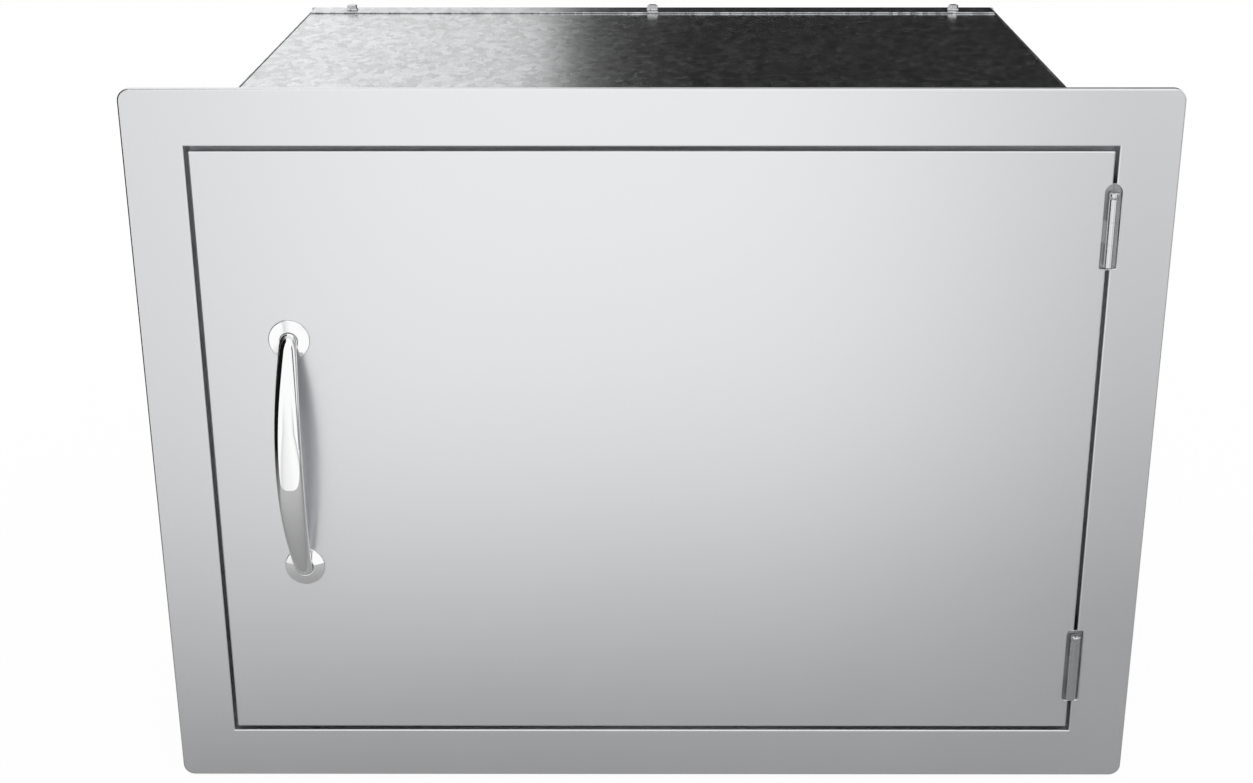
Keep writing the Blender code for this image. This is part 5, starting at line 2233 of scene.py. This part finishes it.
CARDS = (
    Card("card_behind_right", (1.2, 2.6, 1.3), (0.0, 0.0, -0.9), (1.85, 0.0, 0.0),
         ((0.0, 0.96), (0.03, 0.89), (0.06, 0.83), (0.088, 0.78), (0.108, 0.7), (0.118, 0.57), (0.125, 0.36),
          (0.133, 0.19), (0.143, 0.1), (0.16, 0.05), (0.2, 0.022), (1.0, 0.018))),
    Card("card_left", (-0.56, -0.085, 0.75), (0.0, 0.285, 0.0), (0.0, 0.0, 0.75),
         ((0.0, 0.28), (0.06, 0.2), (0.077, 0.14), (0.108, 0.06), (0.135, 0.006), (1.0, 0.003))),
    Card("card_right", (1.0, -0.61, 0.75), (0.0, 0.24, 0.0), (0.0, 0.0, 0.75), ((0.0, 0.2), (1.0, 0.12))),
)


@dataclass
class Studio:
    """Camera, surround, floor and the cards that the metal mirrors.

    The foot is the painted shadow on the floor before the cabinet, as metal sees it, and the falls are how
    much darker metal sees what lies to either side, over spans of a direction's share aside.
    """

    image_width: float = 1253.0
    focal: float = 1924.1
    sensor: float = 36.0
    clip_start: float = 0.01
    pitch: float = radians(20.961)
    yaw: float = radians(-0.148)
    roll: float = radians(0.034)
    eye: Point = (0.00291, -1.22245, 0.76686)
    principal_x: float = 650.64
    floor_z: float = -0.003
    floor_half: float = 30.0
    floor_glow: float = 0.95
    floor_shade: float = 0.98
    mirrored_eye: float = 1.21
    nearest: float = 0.3
    foot_reach: float = 0.475
    foot_slant: float = 0.16
    foot_edge: float = 0.004
    foot_even: float = 0.05
    foot_full: float = 0.22
    foot_shadow_near: float = 0.245
    foot_shadow_far: float = 0.46
    fall_left: float = 0.57
    fall_right: float = 0.78
    fall_left_span: tuple[float, float] = (0.1, 0.5)
    fall_right_span: tuple[float, float] = (0.05, 0.45)
    fall_end_span: tuple[float, float] = (0.28, 0.38)
    fall_height: float = 0.35

    def camera(self) -> None:
        """Set up the camera at the photograph's place."""
        data = bpy.data.cameras.new("camera")
        data.sensor_width = self.sensor
        data.lens = self.focal / self.image_width * self.sensor
        data.shift_x = (self.image_width / 2 - self.principal_x) / self.image_width
        data.clip_start = self.clip_start
        camera = shown("camera", data)
        camera.location = self.eye
        camera.rotation_euler = (pi / 2 - self.pitch, self.roll, -self.yaw)
        bpy.context.scene.camera = camera

    def mirrored_shade(self, sketch: Sketch) -> Value:
        """How bright the floor looks in metal: a painted shadow at the cabinet's foot, darker to either
        side.

        Args:
            sketch: adds nodes to the floor's material.

        Returns:
            The brightness, 1 where the floor is plain white.
        """
        x, y, _ = sketch.axes(sketch.place())
        forward = y * -1.0
        left, right = self.side_falls(x / (forward + self.mirrored_eye).maths("MAXIMUM", self.nearest))
        ahead = forward - x * self.foot_slant
        # Painted shadow: the floor that metal sees is grey near the cabinet's foot.
        foot = ahead.ramp(0.0, self.foot_reach, self.foot_shadow_near, self.foot_shadow_far)
        beyond = ahead.ramp(self.foot_reach - self.foot_edge, self.foot_reach + self.foot_edge, 0.0, 1.0)
        foot = foot * (1.0 - right * ahead.ramp(self.foot_even, self.foot_full, 0.0, 1.0))
        return foot * (1.0 - beyond) + (1.0 - left - right) * beyond

    def side_falls(self, aside: Value) -> tuple[Value, Value]:
        """How much darker metal sees the surround to the left and to the right.

        Args:
            aside: the share of a direction that points to the right.

        Returns:
            What the brightness loses on the left, and on the right.
        """
        near = aside.maths("ABSOLUTE").ramp(*self.fall_end_span, 1.0, 0.0)
        left = (aside * -1.0).ramp(*self.fall_left_span, 0.0, self.fall_left) * near
        right = aside.ramp(*self.fall_right_span, 0.0, self.fall_right) * near
        return left, right

    def floor(self) -> None:
        """A plain white floor that still shows the object's shadow."""
        shell = bmesh.new()
        reach = self.floor_half
        corners = rectangle((-reach, -reach), (reach, reach))
        shell.faces.new([shell.verts.new((*corner, self.floor_z)) for corner in corners])
        material, sketch = bare_material("studio_floor")
        path = sketch.node("ShaderNodeLightPath").outputs
        seen, mirrored, through = (
            Value(sketch, path[f"Is {ray} Ray"]) for ray in ("Camera", "Glossy", "Transmission"))
        seen = seen.maths("MAXIMUM", mirrored).maths("MAXIMUM", through)
        matt = sketch.node("ShaderNodeBsdfDiffuse", {"Color": (*[self.floor_shade] * 3, 1.0)})
        # Only rays from metal see the painted shadow at the cabinet's foot.
        shade = 1.0 + mirrored * (self.mirrored_shade(sketch) - 1.0)
        glow = sketch.node("ShaderNodeEmission", {"Color": WHITE, "Strength": shade})
        values = {0: seen * self.floor_glow, 1: matt.outputs[0], 2: glow.outputs[0]}
        sketch.show(sketch.node("ShaderNodeMixShader", values))
        floor = shown("studio_floor", meshed("studio_floor", shell, material))

    def world(self) -> None:
        """A white surround, which metal sees a little darker to either side, down at the floor's edge."""
        world = bpy.data.worlds.new("studio")
        world.use_nodes = True
        background = world.node_tree.nodes["Background"]
        background.inputs["Color"].default_value = WHITE
        sketch = Sketch(world.node_tree)
        x, y, z = sketch.axes(sketch.node("ShaderNodeTexCoord").outputs["Generated"])
        left, right = self.side_falls(x / y.maths("ABSOLUTE"))
        low = z.ramp(0.0, self.fall_height, 1.0, 0.0)
        mirrored = sketch.value("ShaderNodeLightPath", output="Is Glossy Ray")
        sketch.plug(background.inputs["Strength"], 1.0 - mirrored * low * (left + right))
        bpy.context.scene.world = world
        bpy.context.scene.view_settings.view_transform = "Standard"

    def build(self) -> None:
        """Make the whole studio."""
        self.camera()
        self.world()
        self.floor()
        for card in CARDS:
            card.build()


def main() -> None:
    """Build the cabinet and the studio."""
    logging.basicConfig(level=logging.INFO, format="%(name)s: %(message)s")
    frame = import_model()
    LOG.info("the frame has %d nodes", len(frame["nodes"]))
    envelope = Envelope()
    hinges = Hinges(envelope)
    FaceFrame(envelope).build(hinges.places)
    Door(envelope).build(hinges.places)
    hinges.build()
    SlotLinings(envelope).build(hinges)
    handle = Handle(envelope)
    handle.build()
    box = Box(envelope)
    box.build()
    Gasket(envelope).build()
    Shelf(envelope).build()
    catches = [Catch(envelope, word, share) for word, share in CATCH_SHARES.items()]
    for catch in catches:
        catch.build()
    BACK_SCREWS.build(box.screw_seats(), ZINC_PLATE)
    CATCH_SCREWS.build([seat for catch in catches for seat in catch.housing_seats()], ZINC_PLATE)
    STRIKE_SCREWS.build([seat for catch in catches for seat in catch.strike_seats()], ZINC_PLATE)
    HANDLE_SCREWS.build(handle.screw_seats(), ZINC_PLATE)
    Studio().build()


if __name__ == "__main__":
    main()
